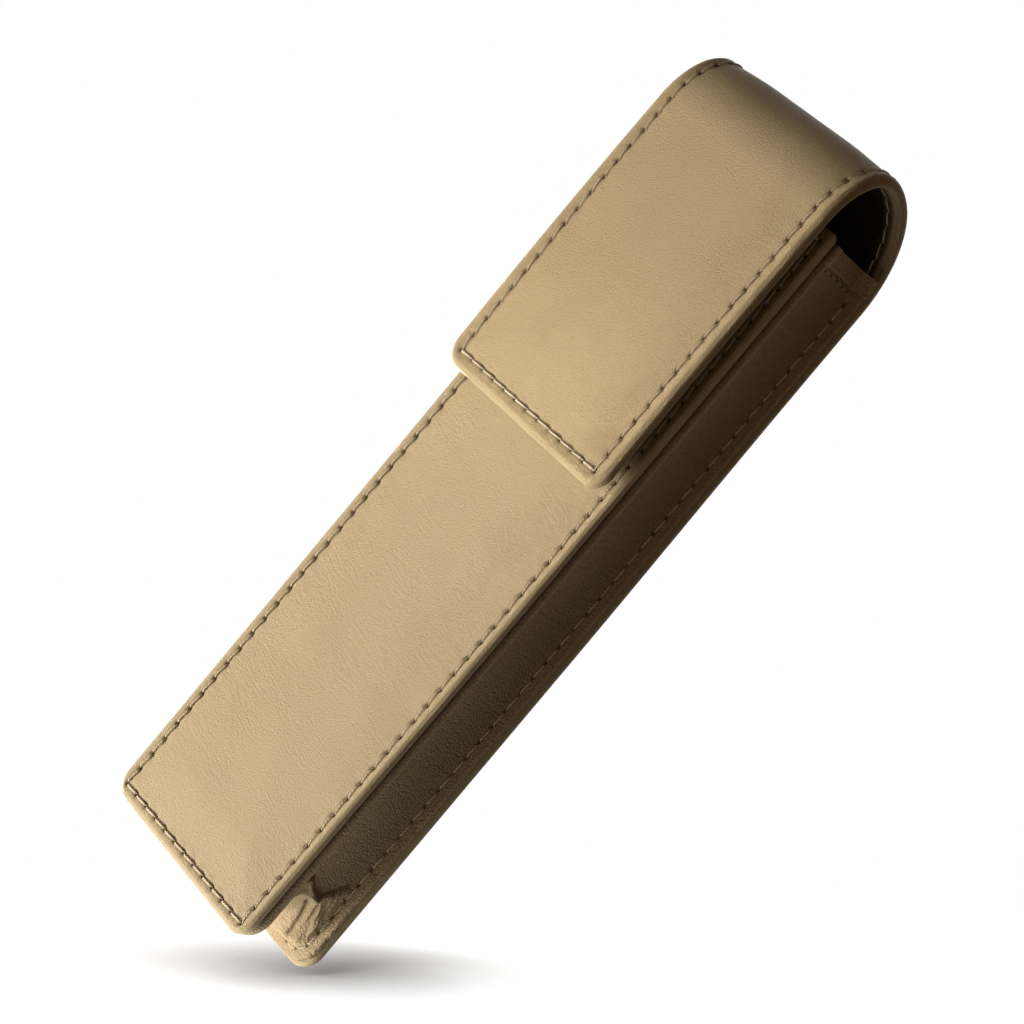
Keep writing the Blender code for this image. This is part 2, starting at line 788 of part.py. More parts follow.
def carry(pieces, empty):
    """Parents the pieces to the empty and leaves them where they are."""
    for piece in pieces:
        piece.parent = empty
        piece.matrix_parent_inverse = empty.matrix_world.inverted()


def main():
    clear_scene()
    parts = new_collection("double_pen_case")
    cutters = new_collection("cutters")
    cutters.hide_render = True
    leather = finish("leather", LEATHER_COLOUR, 0.5)
    gusset_leather = finish("gusset_leather", GUSSET_COLOUR, 0.55)
    board = finish("board", BOARD_COLOUR, 0.9)
    lining = finish("lining", LINING_COLOUR, 0.95)
    thread = finish("thread", THREAD_COLOUR, 0.6)
    brass = finish("brass", BRASS_COLOUR, 0.3, 1.0)
    magnet = finish("magnet", MAGNET_COLOUR, 0.35, 1.0)
    steel = finish("steel", STEEL_COLOUR, 0.35, 1.0)

    front_leather, front_board = make_front_panel(parts, cutters, leather, board, lining, thread)
    make_back_panel(parts, cutters, leather, board, lining, thread)
    make_gusset(parts, gusset_leather)
    make_divider(parts, lining)
    make_front_snap(parts, cutters, front_leather, front_board, brass, magnet, steel)
    crown = [make_crown(index, parts, leather, board, lining, thread) for index in range(FOLDS - 1)]
    flap = make_flap(parts, cutters, leather, board, lining, thread)
    flap_snap = make_flap_snap(parts, cutters, flap[1], flap[2], brass, steel)

    folds = fold_empties(parts)
    for pieces, empty in zip(crown, folds):
        carry(pieces, empty)
    carry([*flap, *flap_snap], folds[-1])


main()
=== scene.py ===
"""Looks of the double pen case: leather skins, stitching, gusset, linings, finishes and studio.

Every piece is a surface of two parameters, laid out flat and then folded into place on the frame.
The wrap (back, crown and flap) is laid out as distance across and run along the strip. Lengths are in
metres, but for the profiles and the insides of the reliefs, which are worked out in millimetres.
"""

import json
import math

import bmesh
import bpy
import numpy as np
from mathutils import Matrix, Vector


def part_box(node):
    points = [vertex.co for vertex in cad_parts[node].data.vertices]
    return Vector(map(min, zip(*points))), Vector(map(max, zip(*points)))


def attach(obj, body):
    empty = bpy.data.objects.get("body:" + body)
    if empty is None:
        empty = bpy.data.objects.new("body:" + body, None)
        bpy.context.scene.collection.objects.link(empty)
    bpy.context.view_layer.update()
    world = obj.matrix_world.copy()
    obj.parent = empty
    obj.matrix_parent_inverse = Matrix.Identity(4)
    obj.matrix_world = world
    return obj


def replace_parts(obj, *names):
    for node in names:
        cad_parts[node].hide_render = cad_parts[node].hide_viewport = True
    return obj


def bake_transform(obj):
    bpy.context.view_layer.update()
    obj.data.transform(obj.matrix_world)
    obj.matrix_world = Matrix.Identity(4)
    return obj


bl_info = {
    "name": "Double Pen Case",
    "version": (1, 0, 0),
    "blender": (4, 5, 0),
    "location": "View3D > Sidebar > Pen Case",
    "description": "Builds the looks of a stitched leather case for two pens on its fixed frame",
    "category": "Object",
}

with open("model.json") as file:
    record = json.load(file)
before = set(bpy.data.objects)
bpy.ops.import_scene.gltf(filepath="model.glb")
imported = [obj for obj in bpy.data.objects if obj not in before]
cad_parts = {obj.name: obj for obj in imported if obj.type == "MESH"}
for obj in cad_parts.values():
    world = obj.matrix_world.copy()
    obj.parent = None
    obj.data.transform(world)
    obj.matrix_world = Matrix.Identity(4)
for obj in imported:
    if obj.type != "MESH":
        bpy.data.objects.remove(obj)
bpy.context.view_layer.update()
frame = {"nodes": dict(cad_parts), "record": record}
MM = 0.001

# Places taken from the frame
FRONT_LOW, FRONT_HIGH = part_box("front_leather")
FLAP_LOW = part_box("flap_leather")[0]
DIVIDER_LOW, DIVIDER_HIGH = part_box("pocket_divider")
HALF = FRONT_HIGH.x
PANEL_TOP = FRONT_HIGH.z
FRONT_FACE = FRONT_LOW.y
BACK_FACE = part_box("back_leather")[1].y
FLAP_FACE = FLAP_LOW.y
FLAP_EDGE = FLAP_LOW.z
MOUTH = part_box("gusset_hem_right")[1].z
GUSSET_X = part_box("gusset_right")[0].x
BASE_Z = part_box("gusset_base")[1].z

# The arch of the crown and its strips
BACK_RISE = 20.0 * MM
FRONT_RISE = 13.0 * MM
APEX_FROM_FLAP = 9.0 * MM
APEX_Y = FLAP_FACE + APEX_FROM_FLAP
BACK_SPRING = PANEL_TOP + FRONT_RISE - BACK_RISE
WRAP_WALL = 2.5 * MM
FLAP_BOW = 0.35 * MM
STRIPS = 4
CROWN_STEP = 0.22 * MM
CROWN_LINING_POINTS = 25

# How much slimmer the soft case is in front and at the crown, and at its right foot
SLIM_SHARE = 0.017
FOOT_SHARE = 0.042

# Stitches: their lengths before they are evened out, how many cross an end, and outline points to each
WRAP_STITCH = 3.46 * MM
PANEL_STITCH = 3.42 * MM
END_STITCHES = 12
STITCH_POINTS = 16


# Settings


def amount(label, meaning, value, unit="NONE"):
    """A setting that is one number."""
    return bpy.props.FloatProperty(name=label, description=meaning, default=value, unit=unit)


def triple(label, meaning, value, subtype="COLOR"):
    """A setting of three numbers: a colour, or else a way."""
    return bpy.props.FloatVectorProperty(name=label, description=meaning, default=value, subtype=subtype)


class PenCaseSizes(bpy.types.PropertyGroup):
    """Sizes of the seams and edges."""

    panel_inset: amount("Panel seam inset", "How far the front panel's seam lies in", 2.6 * MM, "LENGTH")
    wrap_inset: amount("Wrap seam inset", "How far the wrap's seam lies in", 2.95 * MM, "LENGTH")
    thread_radius: amount("Thread radius", "Radius of the sewing thread", 0.16 * MM, "LENGTH")
    seam_depth: amount("Seam depth", "How deep the seam is pulled into the leather", 0.20 * MM, "LENGTH")
    hole_depth: amount("Hole depth", "Depth of each needle hole", 0.50 * MM, "LENGTH")
    panel_corner: amount("Panel corner", "Radius of the panels' lower corners", 4.4 * MM, "LENGTH")
    flap_corner: amount("Flap corner", "Radius of the flap's lower corners", 4.2 * MM, "LENGTH")
    mouth_corner: amount("Mouth corner", "Radius of the front panel's upper corners", 1.6 * MM, "LENGTH")


class PenCaseColours(bpy.types.PropertyGroup):
    """Colours of the finishes."""

    leather: triple("Leather", "Colour of panel, crown and flap", (0.53, 0.40, 0.212))
    # painted light: the gusset is the same leather, given a lighter colour than the leather's to lift its
    # shaded wall
    gusset: triple("Gusset", "Colour of the thin gusset leather", (0.60, 0.44, 0.245))
    thread: triple("Thread", "Colour of the sewing thread", (0.84, 0.71, 0.45))
    lining: triple("Lining", "Colour of the napped lining", (0.024, 0.018, 0.014))
    board: triple("Board", "Colour of the fibre board", (0.42, 0.38, 0.32))
    brass: triple("Brass", "Colour of the snap", (0.70, 0.55, 0.28))
    magnet: triple("Magnet", "Colour of the ring magnet", (0.10, 0.10, 0.11))
    steel: triple("Steel", "Colour of the washers", (0.55, 0.55, 0.56))


class PenCaseStudio(bpy.types.PropertyGroup):
    """Camera and lamps."""

    azimuth: amount("Azimuth", "Camera's turn to the right of the front", math.radians(41.0), "ROTATION")
    elevation: amount("Elevation", "Camera's height as an angle", math.radians(4.41), "ROTATION")
    roll: amount("Roll", "Camera's roll, which lays the case over", math.radians(39.89), "ROTATION")
    distance: amount("Distance", "Camera's distance from its target", 0.548, "LENGTH")
    lens: amount("Lens", "Focal length in millimetres", 111.7)
    key: amount("Key lamp", "Power of the key lamp", 6.45, "POWER")
    key_way: triple(
        "Key lamp's place", "From the case's middle to the key lamp", (-0.26, -0.42, -0.56), "TRANSLATION"
    )
    side: amount("Side lamp", "Power of the lamp on the left, which gives the sheen", 1.5, "POWER")
    bounce: amount("Bounce lamp", "Power of the lamp that stands for light off the floor", 0.065, "POWER")
    accent: amount("Accent lamp", "Power of the narrow lamp on the flap's end", 0.0050, "POWER")
    snoot: amount("Flap lamp", "Power of the very narrow lamp on the flap's end", 0.0023, "POWER")
    behind: amount("Back lamp", "Power of the lamp behind the case", 3.4, "POWER")
    fill: amount("Fill", "Strength of the even light all round", 0.052)
    fill_colour: triple("Fill colour", "Colour of the even light all round", (1.0, 0.585, 0.345))


# Shapes in the flat


def ease(values, low, high):
    """0 below low, 1 above high, and a smooth step between them."""
    share = np.clip((values - low) / (high - low), 0.0, 1.0)
    return share * share * (3.0 - 2.0 * share)


def hump(values, width):
    """1 at zero, falling off as a bell of this half width."""
    return np.exp(-((values / width) ** 2))


def ripple(u, v, length, seed):
    """A soft uneven surface: a quarter of the sum of eight sine waves of about one length, in seeded ways."""
    dice = np.random.default_rng(seed)
    turns = dice.uniform(0.0, 2.0 * np.pi, (8, 2))
    lengths = length * dice.uniform(0.7, 1.6, 8)
    total = np.zeros(np.broadcast(u, v).shape)
    for (way, phase), wave in zip(turns, lengths):
        total = total + np.sin(2 * np.pi * (u * np.cos(way) + v * np.sin(way)) / wave + phase)
    return total / 4.0


def arch_point(turn):
    """Depth and height on the wrap's face where it has turned by so many degrees.

    Two quarter ellipses with a level tangent at the top: one up the back from 0, one down the front to 180.
    """
    angle = np.radians(turn)
    side = np.where(turn <= 90, 1.0, -1.0)
    reach = np.where(turn <= 90, BACK_FACE - APEX_Y, APEX_FROM_FLAP)
    rise = np.where(turn <= 90, BACK_RISE, FRONT_RISE)
    place = np.arctan2(rise * np.sin(angle), side * reach * np.cos(angle))
    foot = np.where(turn <= 90, BACK_SPRING, PANEL_TOP)
    return APEX_Y + side * reach * np.cos(place), foot + rise * np.sin(place)


ARCH_TURNS = np.linspace(0.0, 180.0, 1441)
ARCH_Y, ARCH_Z = arch_point(ARCH_TURNS)
WRAP_Y = np.concatenate([[BACK_FACE], ARCH_Y, [FLAP_FACE]])
WRAP_Z = np.concatenate([[0.0], ARCH_Z, [FLAP_EDGE]])
WRAP_TURN = np.concatenate([[0.0], ARCH_TURNS, [180.0]])
WRAP_RUN = np.concatenate([[0.0], np.cumsum(np.hypot(np.diff(WRAP_Y), np.diff(WRAP_Z)))])
WRAP_END = WRAP_RUN[-1]
STRIP_RUN = np.interp(np.linspace(0.0, 180.0, STRIPS + 1), ARCH_TURNS, WRAP_RUN[1:-1])
BACK_HEIGHT = STRIP_RUN[0]
FLAP_HEIGHT = WRAP_END - STRIP_RUN[-1]


def settle(across, y, z):
    """The soft case's own shape: across shrinks a little in front, at the crown and at the right foot."""
    front = 1.0 - ease(y, -2.0 * MM, 9.0 * MM)
    slim = np.maximum(front, ease(z, 70.0 * MM, 130.0 * MM))
    foot = front * (1.0 - ease(z, -20.0 * MM, 85.0 * MM)) * (across > 0)
    across = across * (1.0 - SLIM_SHARE * slim - FOOT_SHARE * foot)
    return np.stack(np.broadcast_arrays(across, y, z), axis=-1)


def fold_wrap(across, run, depth):
    """Places a point of the wrap's layout: its run gives a point and a normal of the arch, and depth goes in.

    The flap bows out a little, as a parabola between the crown and its lower edge.
    """
    turn = np.radians(np.interp(run, WRAP_RUN, WRAP_TURN))
    share = np.clip((run - STRIP_RUN[-1]) / FLAP_HEIGHT, 0.0, 1.0)
    depth = depth - FLAP_BOW * 4.0 * share * (1.0 - share)
    y = np.interp(run, WRAP_RUN, WRAP_Y) - depth * np.cos(turn)
    z = np.interp(run, WRAP_RUN, WRAP_Z) - depth * np.sin(turn)
    return settle(across, y, z)


def fold_inside(across, run, depth):
    """The wrap's turned margin on its inner side: depth goes out from it."""
    return fold_wrap(across, run, WRAP_WALL - depth)


def fold_flap(across, rise, depth):
    """The wrap from its lower edge on the flap, where the rise is measured up from that edge."""
    return fold_wrap(across, WRAP_END - rise, depth)


def fold_front(across, rise, depth):
    """The front panel: depth goes in from its face."""
    return settle(across, FRONT_FACE + depth, rise)


def side_steps(start, end, step):
    """Shares from 0 to 1 that divide a stretch evenly, as a column that leaves the last one out."""
    count = max(2, int(round(abs(end - start) / step)))
    return np.arange(count)[:, None] / count


def outline(height, corner, top_corner, step, inset):
    """A rounded end, or a whole rounded rectangle, at every inset: across and rise, as place by inset.

    It runs down the right side, along the lower edge and up the left side, and back along the top if there
    is a top corner. Ways are 1 for right and for the lower end, and -1 for left and for the upper end.
    An inset corner keeps its centre until its radius is 1 mm.
    """
    closed = top_corner is not None
    least = 1.0 * MM
    inset = inset[None, :]
    edge = HALF - inset
    low = np.maximum(corner - inset, least)
    high = np.maximum(top_corner - inset, least) if closed else 0.0 * inset
    top = height - inset - high if closed else height + 0.0 * inset

    def side(way, share):
        going = share if way == 1 else 1.0 - share
        return way * edge + 0.0 * share, top + (inset + low - top) * going

    def end(way, share):
        radius = low if way == 1 else high
        rise = inset if way == 1 else height - inset
        return way * (edge - radius) * (1.0 - 2.0 * share), rise + 0.0 * share

    def bend(side_way, way, share):
        radius = low if way == 1 else high
        turn = np.pi / 2 * (share if side_way * way == 1 else 1.0 - share)
        centre = inset + radius if way == 1 else height - inset - radius
        return side_way * (edge - radius + radius * np.cos(turn)), centre - way * radius * np.sin(turn)

    going, level = side_steps(height, corner, step), side_steps(HALF, -HALF, step)
    low_bend, high_bend = np.arange(14)[:, None] / 14, np.arange(10)[:, None] / 10
    parts = [side(1, going), bend(1, 1, low_bend), end(1, level), bend(-1, 1, low_bend)]
    if closed:
        parts += [side(-1, going), bend(-1, -1, high_bend), end(-1, level), bend(1, -1, high_bend)]
    else:
        parts += [side(-1, np.append(going, [[1.0]], axis=0))]
    return [np.concatenate(places) for places in zip(*parts)]


def end_marks(inset):
    """Places across of the needle holes along an end, from left to right."""
    return np.linspace(inset - HALF, HALF - inset, END_STITCHES + 1)


def seam_holes(height, pitch, inset):
    """Needle holes of a seam all round a panel: place, way along the seam and way inward, for each hole."""
    ups = np.arange(inset, height - inset + 0.01 * MM, pitch)
    holes = [(side * (HALF - inset), up, 0.0, 1.0, -side, 0.0) for side in (1.0, -1.0) for up in ups]
    ends = ((inset, 1.0), (height - inset, -1.0))
    holes += [(x, end, 1.0, 0.0, 0.0, way) for end, way in ends for x in end_marks(inset)[1:-1]]
    return np.array(holes)


def from_nearest_hole(x, z, holes):
    """Distance along the seam and inward from the nearest needle hole, for every point, in batches."""
    batch = 20000
    flat_x, flat_z = x.ravel(), z.ravel()
    along, inward = np.empty(flat_x.size), np.empty(flat_x.size)
    for start in range(0, flat_x.size, batch):
        part = slice(start, start + batch)
        dx = flat_x[part, None] - holes[None, :, 0]
        dz = flat_z[part, None] - holes[None, :, 1]
        nearest = np.argmin(dx * dx + dz * dz, axis=1)
        pick = np.arange(nearest.size)
        dx, dz, hole = dx[pick, nearest], dz[pick, nearest], holes[nearest]
        along[part] = dx * hole[:, 2] + dz * hole[:, 3]
        inward[part] = dx * hole[:, 4] + dz * hole[:, 5]
    return along.reshape(x.shape), inward.reshape(x.shape)


def seam_relief(x, z, inset, holes, seam_inset, sizes):
    """Height of the leather round a seam, and the painted shade that darkens each needle hole.

    A soft channel along the seam, a roll between seam and edge, and at each hole a slanted oval dent
    with a pucker that runs off on the panel's side. Between holes the leather puffs up beside the thread.
    The seam's line bows by a cosine with a period of two stitches. The second value is painted shade: in each
    hole's dent, along the pucker's tail and in a thin line beside the seam.
    """
    along, inward = (distance / MM for distance in from_nearest_hole(x, z, holes))
    inset, stitch, slant = inset / MM, 3.44, math.radians(20.0)
    bow = 0.12 * (np.cos(along * np.pi / stitch) - 0.5)
    off = inset - seam_inset / MM - bow
    length = along * math.cos(slant) - inward * math.sin(slant)
    width = along * math.sin(slant) + inward * math.cos(slant)
    dent = hump(length, 0.44) * hump(width, 0.31)
    tail = hump(along + 0.55, 0.50) * hump(inward - 0.36, 0.28)
    channel = 0.5 * hump(off, 0.34) + 0.5 * hump(off, 1.3)
    roll = 0.13 * hump(inset - 1.45, 0.80)
    between = 1.0 - hump(along, 0.8)
    puff = between * (0.06 * hump(inward - 0.75, 0.45) + 0.09 * hump(inward + 0.62, 0.36))
    padding = 0.45 * ease(inset, 1.5, 14.0) - 0.12
    # painted shade: a thin line darkening the seam's channel beside the thread
    line = 0.10 * hump(off - 0.2, 0.14)
    height = MM * (padding + roll + puff - 0.12 * tail) - sizes.seam_depth * channel - sizes.hole_depth * dent
    return height, np.clip(1.6 * dent + 0.2 * tail + line, 0.0, 1.0)


# Meshes


def grid_faces(rows, columns, round_rows=False, round_columns=False):
    """Quads between neighbours of a grid of points, closed round either way where asked."""
    i = np.arange(rows if round_rows else rows - 1)[:, None]
    j = np.arange(columns if round_columns else columns - 1)[None, :]
    below, beside = (i + 1) % rows, (j + 1) % columns
    corners = [i * columns + j, below * columns + j, below * columns + beside, i * columns + beside]
    return np.stack(np.broadcast_arrays(*corners), axis=-1).reshape(-1, 4)


def outward(points, faces):
    """The faces, turned round if the closed shape that they make has a negative volume."""
    flat = points.reshape(-1, 3)
    a, b, c, d = (flat[faces[:, k]] for k in range(4))
    volume = np.einsum("ij,ij->", a, np.cross(b, c)) + np.einsum("ij,ij->", a, np.cross(c, d))
    return faces[:, ::-1] if volume < 0 else faces


def new_piece(name, points, faces, material, hole=None, uv=None, caps=(), welded=True):
    """An object from a grid's points and quads, with any caps. Welding merges doubles and sharpens rims."""
    mesh = bpy.data.meshes.new(name)
    mesh.from_pydata(points.reshape(-1, 3), [], [*faces.tolist(), *caps])
    # The hole attribute carries painted shade: needle holes, seam lines, shaded folds and margins.
    if hole is not None:
        layer = mesh.attributes.new("hole", "FLOAT", "POINT")
        layer.data.foreach_set("value", hole.ravel().astype(np.float32))
    if uv is not None:
        layer = mesh.uv_layers.new(name="UVMap")
        index = np.empty(len(mesh.loops), np.int64)
        mesh.loops.foreach_get("vertex_index", index)
        layer.data.foreach_set("uv", uv.reshape(-1, 2)[index].astype(np.float32).ravel())
    if welded:
        work = bmesh.new()
        work.from_mesh(mesh)
        bmesh.ops.remove_doubles(work, verts=work.verts, dist=1e-7)
        if caps:
            bmesh.ops.recalc_face_normals(work, faces=work.faces)
        for edge in [edge for face in work.faces if len(face.verts) > 4 for edge in face.edges]:
            edge.smooth = False
        work.to_mesh(mesh)
        work.free()
    mesh.materials.append(material)
    mesh.shade_smooth()
    obj = bpy.data.objects.new(name, mesh)
    bpy.context.scene.collection.objects.link(obj)
    return obj


def tube(name, points, material, hole=None):
    """A piece from rings of points, one ring to a row, with a cap on the first and the last."""
    rows, count = points.shape[:2]
    caps = [list(range(count)), list(range((rows - 1) * count, rows * count))]
    return new_piece(name, points, grid_faces(rows, count, round_columns=True), material, hole, caps=caps)


def filled_section(profile, fills):
    """A profile's insets and depths with its fills, and the fills' shares of the way to the middle.

    The insets of the fill on the face grow evenly to the middle. The fill on the back keeps the last inset.
    """
    face, back = 1.0 - np.arange(fills[0]) / fills[0], np.arange(1, fills[1] + 1) / fills[1]
    insets, depths = profile.T
    inset = np.concatenate([insets[0] + (HALF - insets[0]) * face, insets, 0.0 * back + insets[-1]])
    depth = np.concatenate([0.0 * face + depths[0], depths, 0.0 * back + depths[-1]])
    return inset, depth, face, back


def relieved(relief, across, rise, inset, depth):
    """Depth and painted shade of every point: the relief's, or the section's own depth and no shade."""
    inset, depth = np.broadcast_to(inset, across.shape), np.broadcast_to(depth, across.shape)
    return relief(across, rise, inset, depth) if relief else (depth, np.zeros(across.shape))


def plate(name, fold, height, corners, step, profile, fills, material, relief=None):
    """A closed plate: a profile of inset and depth carried round an outline and filled in on both sides.

    The corners are the lower radius and the upper one, which is None where the plate ends in a flat cut.
    At each place the fill runs in a straight line from the profile's end to the nearest point of the
    panel's middle line. The relief moves the points of the first side out, and gives a value for the finish.
    """
    closed = corners[1] is not None
    inset, depth, face, back = filled_section(profile, fills)
    x, z = outline(height, *corners, step, profile[:, 0])
    top = height - HALF if closed else height

    def fill(column, share):
        near_x, near_z = x[:, column, None], z[:, column, None]
        return near_x * (1.0 - share), near_z + (np.clip(near_z, HALF, top) - near_z) * share

    across, rise = (np.concatenate(parts, axis=1) for parts in zip(fill(0, face), (x, z), fill(-1, back)))
    depth, painted_shade = relieved(relief, across, rise, inset, depth)
    points = fold(across, rise, depth)
    rows, count = across.shape
    faces = grid_faces(rows, count, round_rows=closed)
    if closed:
        return new_piece(name, points, outward(points, faces), material, painted_shade)
    cut = [*range(count), *reversed(range((rows - 1) * count, rows * count))]
    return new_piece(name, points, faces, material, painted_shade, caps=[cut])


def strip(name, run, profile, fills, material, relief=None):
    """A stretch of the wrap as a closed tube: the plate's section, right then left, carried along the run."""
    inset, depth, face, back = filled_section(profile, fills)
    right = HALF - profile[:, 0]
    x = np.concatenate([right[0] * (1.0 - face), right, right[-1] * (1.0 - back)])
    sides = ((x, -1), (depth, 1), (inset, 1))
    x, depth, inset = (np.concatenate([part, (way * part)[1:-1][::-1]]) for part, way in sides)
    x, rise = np.broadcast_arrays(x[None, :], run[:, None])
    depth, painted_shade = relieved(relief, x, rise, inset, depth)
    return tube(name, fold_wrap(x, rise, depth), material, painted_shade)


def stitches(name, rows, fold, sizes, depth=0.0, lean=0.14 * MM):
    """One piece of separate stitches: tubes from each hole's panel side to the next one's edge side.

    Rows are the stitches' starts, ends and inward ways. Along a stitch the middle line leans across as a half
    cosine and rises out of the leather on a flat-topped curve; round it the section is a circle that closes
    at both ends. The short stitches along the ends lie looser: they are thicker and lean less.
    """
    starts, ends, inward = rows
    loose = np.abs(inward[:, 1])[:, None]
    rings, columns = 10, 5
    along = np.linspace(0.0, 1.0, rings)
    turn = np.arange(columns) * 2 * np.pi / columns
    way = ends - starts
    length = np.linalg.norm(way, axis=1)[:, None]
    from_middle = np.abs(2 * along - 1)
    rise = -depth - 0.42 * MM * from_middle**5
    thick = sizes.thread_radius * (1.0 - 0.55 * from_middle**6)
    thick[[0, -1]] = 0.02 * MM
    thick = ((0.95 + 0.50 * loose) * thick)[..., None]
    lean = lean * (1.0 - 0.45 * loose) * np.cos(np.pi * along)
    middle = starts[:, None, :] + way[:, None, :] * along[:, None] - inward[:, None, :] * lean[..., None]
    flat = middle[:, :, None, :] + inward[:, None, None, :] * (thick * np.cos(turn))[..., None]
    points = fold(flat[..., 0], flat[..., 1], -(rise[:, None] + thick * np.sin(turn)))

    count = rings * columns
    one = outward(points[0], grid_faces(rings, columns, round_columns=True))
    near, far = np.arange(columns), np.arange(count - columns, count)
    caps = np.stack([near[::-1], far] if one[0, 0] == 0 else [near, far[::-1]])
    firsts = (np.arange(len(starts)) * count)[:, None, None]
    u = np.broadcast_to(turn / (2 * np.pi), points.shape[:-1])
    v = np.broadcast_to((along * length / MM)[:, :, None], points.shape[:-1])
    return new_piece(
        name, points, (one + firsts).reshape(-1, 4), bpy.data.materials["sewing_thread"],
        uv=np.stack([u, v], axis=-1), caps=(caps + firsts).reshape(-1, columns).tolist(), welded=False,
    )


# Finishes


def set_inputs(tree, node, **inputs):
    """Gives a node's inputs their values, by name or as i and a number. A socket is linked."""
    for label, value in inputs.items():
        place = int(label[1:]) if label[0] == "i" and label[1:].isdigit() else label.replace("_", " ")
        if isinstance(value, bpy.types.NodeSocket):
            tree.links.new(value, node.inputs[place])
        else:
            node.inputs[place].default_value = value
    return node


def add_node(tree, kind, settings=None, **inputs):
    """A node of this kind with its settings and inputs."""
    node = tree.nodes.new(kind)
    for label, value in (settings or {}).items():
        setattr(node, label, value)
    return set_inputs(tree, node, **inputs)


def maths(tree, operation, first, second=0.0, third=0.0):
    """The result of a Math node."""
    settings = {"operation": operation}
    return add_node(tree, "ShaderNodeMath", settings, i0=first, i1=second, i2=third).outputs[0]


def mixed(tree, share, first, second):
    """The colour of a Mix node in colour mode."""
    first, second = (c if isinstance(c, bpy.types.NodeSocket) else (*c, 1.0) for c in (first, second))
    return add_node(tree, "ShaderNodeMix", {"data_type": "RGBA"}, i0=share, i6=first, i7=second).outputs[2]


def ranged(tree, value, low, high, kind="LINEAR"):
    """0 below low, 1 above high and a step of this kind between them."""
    settings = {"interpolation_type": kind}
    return add_node(tree, "ShaderNodeMapRange", settings, Value=value, From_Min=low, From_Max=high).outputs[0]


def scaled_place(tree, scale=(1.0, 1.0, 1.0), tilt=0.0):
    """Object coordinates turned about the case's depth, then times a scale for each axis."""
    place = add_node(tree, "ShaderNodeTexCoord").outputs["Object"]
    turned = add_node(tree, "ShaderNodeMapping", Vector=place, Rotation=(0.0, tilt, 0.0)).outputs[0]
    return add_node(tree, "ShaderNodeMapping", Vector=turned, Scale=scale).outputs[0]


def noise(tree, vector, scale, detail=2.0, roughness=0.5, distortion=0.0):
    """The value of a Noise texture."""
    inputs = {"Scale": scale, "Detail": detail, "Roughness": roughness, "Distortion": distortion}
    return add_node(tree, "ShaderNodeTexNoise", Vector=vector, **inputs).outputs[0]


def bump(tree, height, strength, distance):
    """The normal that a Bump node makes of a height."""
    return add_node(tree, "ShaderNodeBump", Strength=strength, Distance=distance, Height=height).outputs[0]


def toned(colour, share):
    """A colour made lighter or darker by a share."""
    return tuple(min(1.0, channel * share) for channel in colour)


def empty_material(name):
    """A new material with only a Principled shader: the material, its nodes and that shader."""
    material = bpy.data.materials.new(name)
    material.use_nodes = True
    tree = material.node_tree
    return material, tree, tree.nodes["Principled BSDF"]


def leather_finish(name, colour, grain, pebble, crease, roughness, shine, tone):
    """Leather: pebbles from Voronoi cells, long fine creases a little off the across way, and painted shade
    from the hole attribute.

    Grain is the number of pebbles in a metre, pebble and crease are their heights, and tone is how much
    darker than the colour the hollows are.
    """
    _, tree, shader = empty_material(name)
    place = scaled_place(tree, (0.8, 0.8, 1.0), -0.2)
    cells = add_node(tree, "ShaderNodeTexVoronoi", Vector=place, Scale=grain).outputs["Distance"]
    fine = noise(tree, place, grain * 1.7, 2.0, 0.6)
    folds = noise(tree, scaled_place(tree, (0.16, 0.16, 1.0), -0.21), 900.0, 3.0, 0.5, 0.8)
    folds = maths(tree, "ABSOLUTE", maths(tree, "MULTIPLY_ADD", folds, 2.0, -1.0))
    lines = maths(tree, "SUBTRACT", 1.0, maths(tree, "MULTIPLY", folds, 5.0))
    lines = add_node(tree, "ShaderNodeClamp", Value=lines).outputs[0]
    lines = maths(tree, "MULTIPLY", lines, ranged(tree, noise(tree, scaled_place(tree), 110.0), 0.38, 0.60))
    broad = noise(tree, place, 60.0)
    height = maths(tree, "MULTIPLY", cells, -pebble)
    height = maths(tree, "MULTIPLY_ADD", fine, 0.35 * pebble, height)
    height = maths(tree, "MULTIPLY_ADD", lines, -crease, height)
    deep = toned(colour, 1.0 - tone)
    body = mixed(tree, maths(tree, "MULTIPLY", cells, 0.55), toned(colour, 1.06), deep)
    body = mixed(tree, maths(tree, "MULTIPLY", broad, 0.22), body, deep)
    body = mixed(tree, maths(tree, "MULTIPLY", lines, min(1.0, 1.6 * crease)), body, deep)
    # painted shade: where the hole attribute is set, the colour goes to a near-black sunk tone
    hole = add_node(tree, "ShaderNodeAttribute", {"attribute_name": "hole"}).outputs["Fac"]
    sunk = tuple(channel * share for channel, share in zip(colour, (0.10, 0.07, 0.05)))
    rough = maths(tree, "MULTIPLY_ADD", cells, 0.12, roughness)
    set_inputs(
        tree, shader, Base_Color=mixed(tree, hole, body, sunk), Normal=bump(tree, height, 0.6, 0.35 * MM),
        Roughness=maths(tree, "MULTIPLY_ADD", hole, 0.3, rough), Specular_IOR_Level=shine,
    )


def lining_finish(name, colour):
    """Napped lining: clouds of brushed pile with a low sheen."""
    _, tree, shader = empty_material(name)
    place = scaled_place(tree)
    cloud = noise(tree, place, 140.0, 4.0, 0.6)
    nap = noise(tree, place, 5200.0, 3.0, 0.7)
    pile = maths(tree, "MULTIPLY_ADD", cloud, 0.6, maths(tree, "MULTIPLY", nap, 0.3))
    set_inputs(
        tree, shader, Base_Color=mixed(tree, pile, colour, toned(colour, 2.1)),
        Normal=bump(tree, nap, 0.7, 0.2 * MM), Roughness=maths(tree, "MULTIPLY_ADD", nap, 0.1, 0.86),
        Sheen_Weight=0.08, Specular_IOR_Level=0.08,
    )


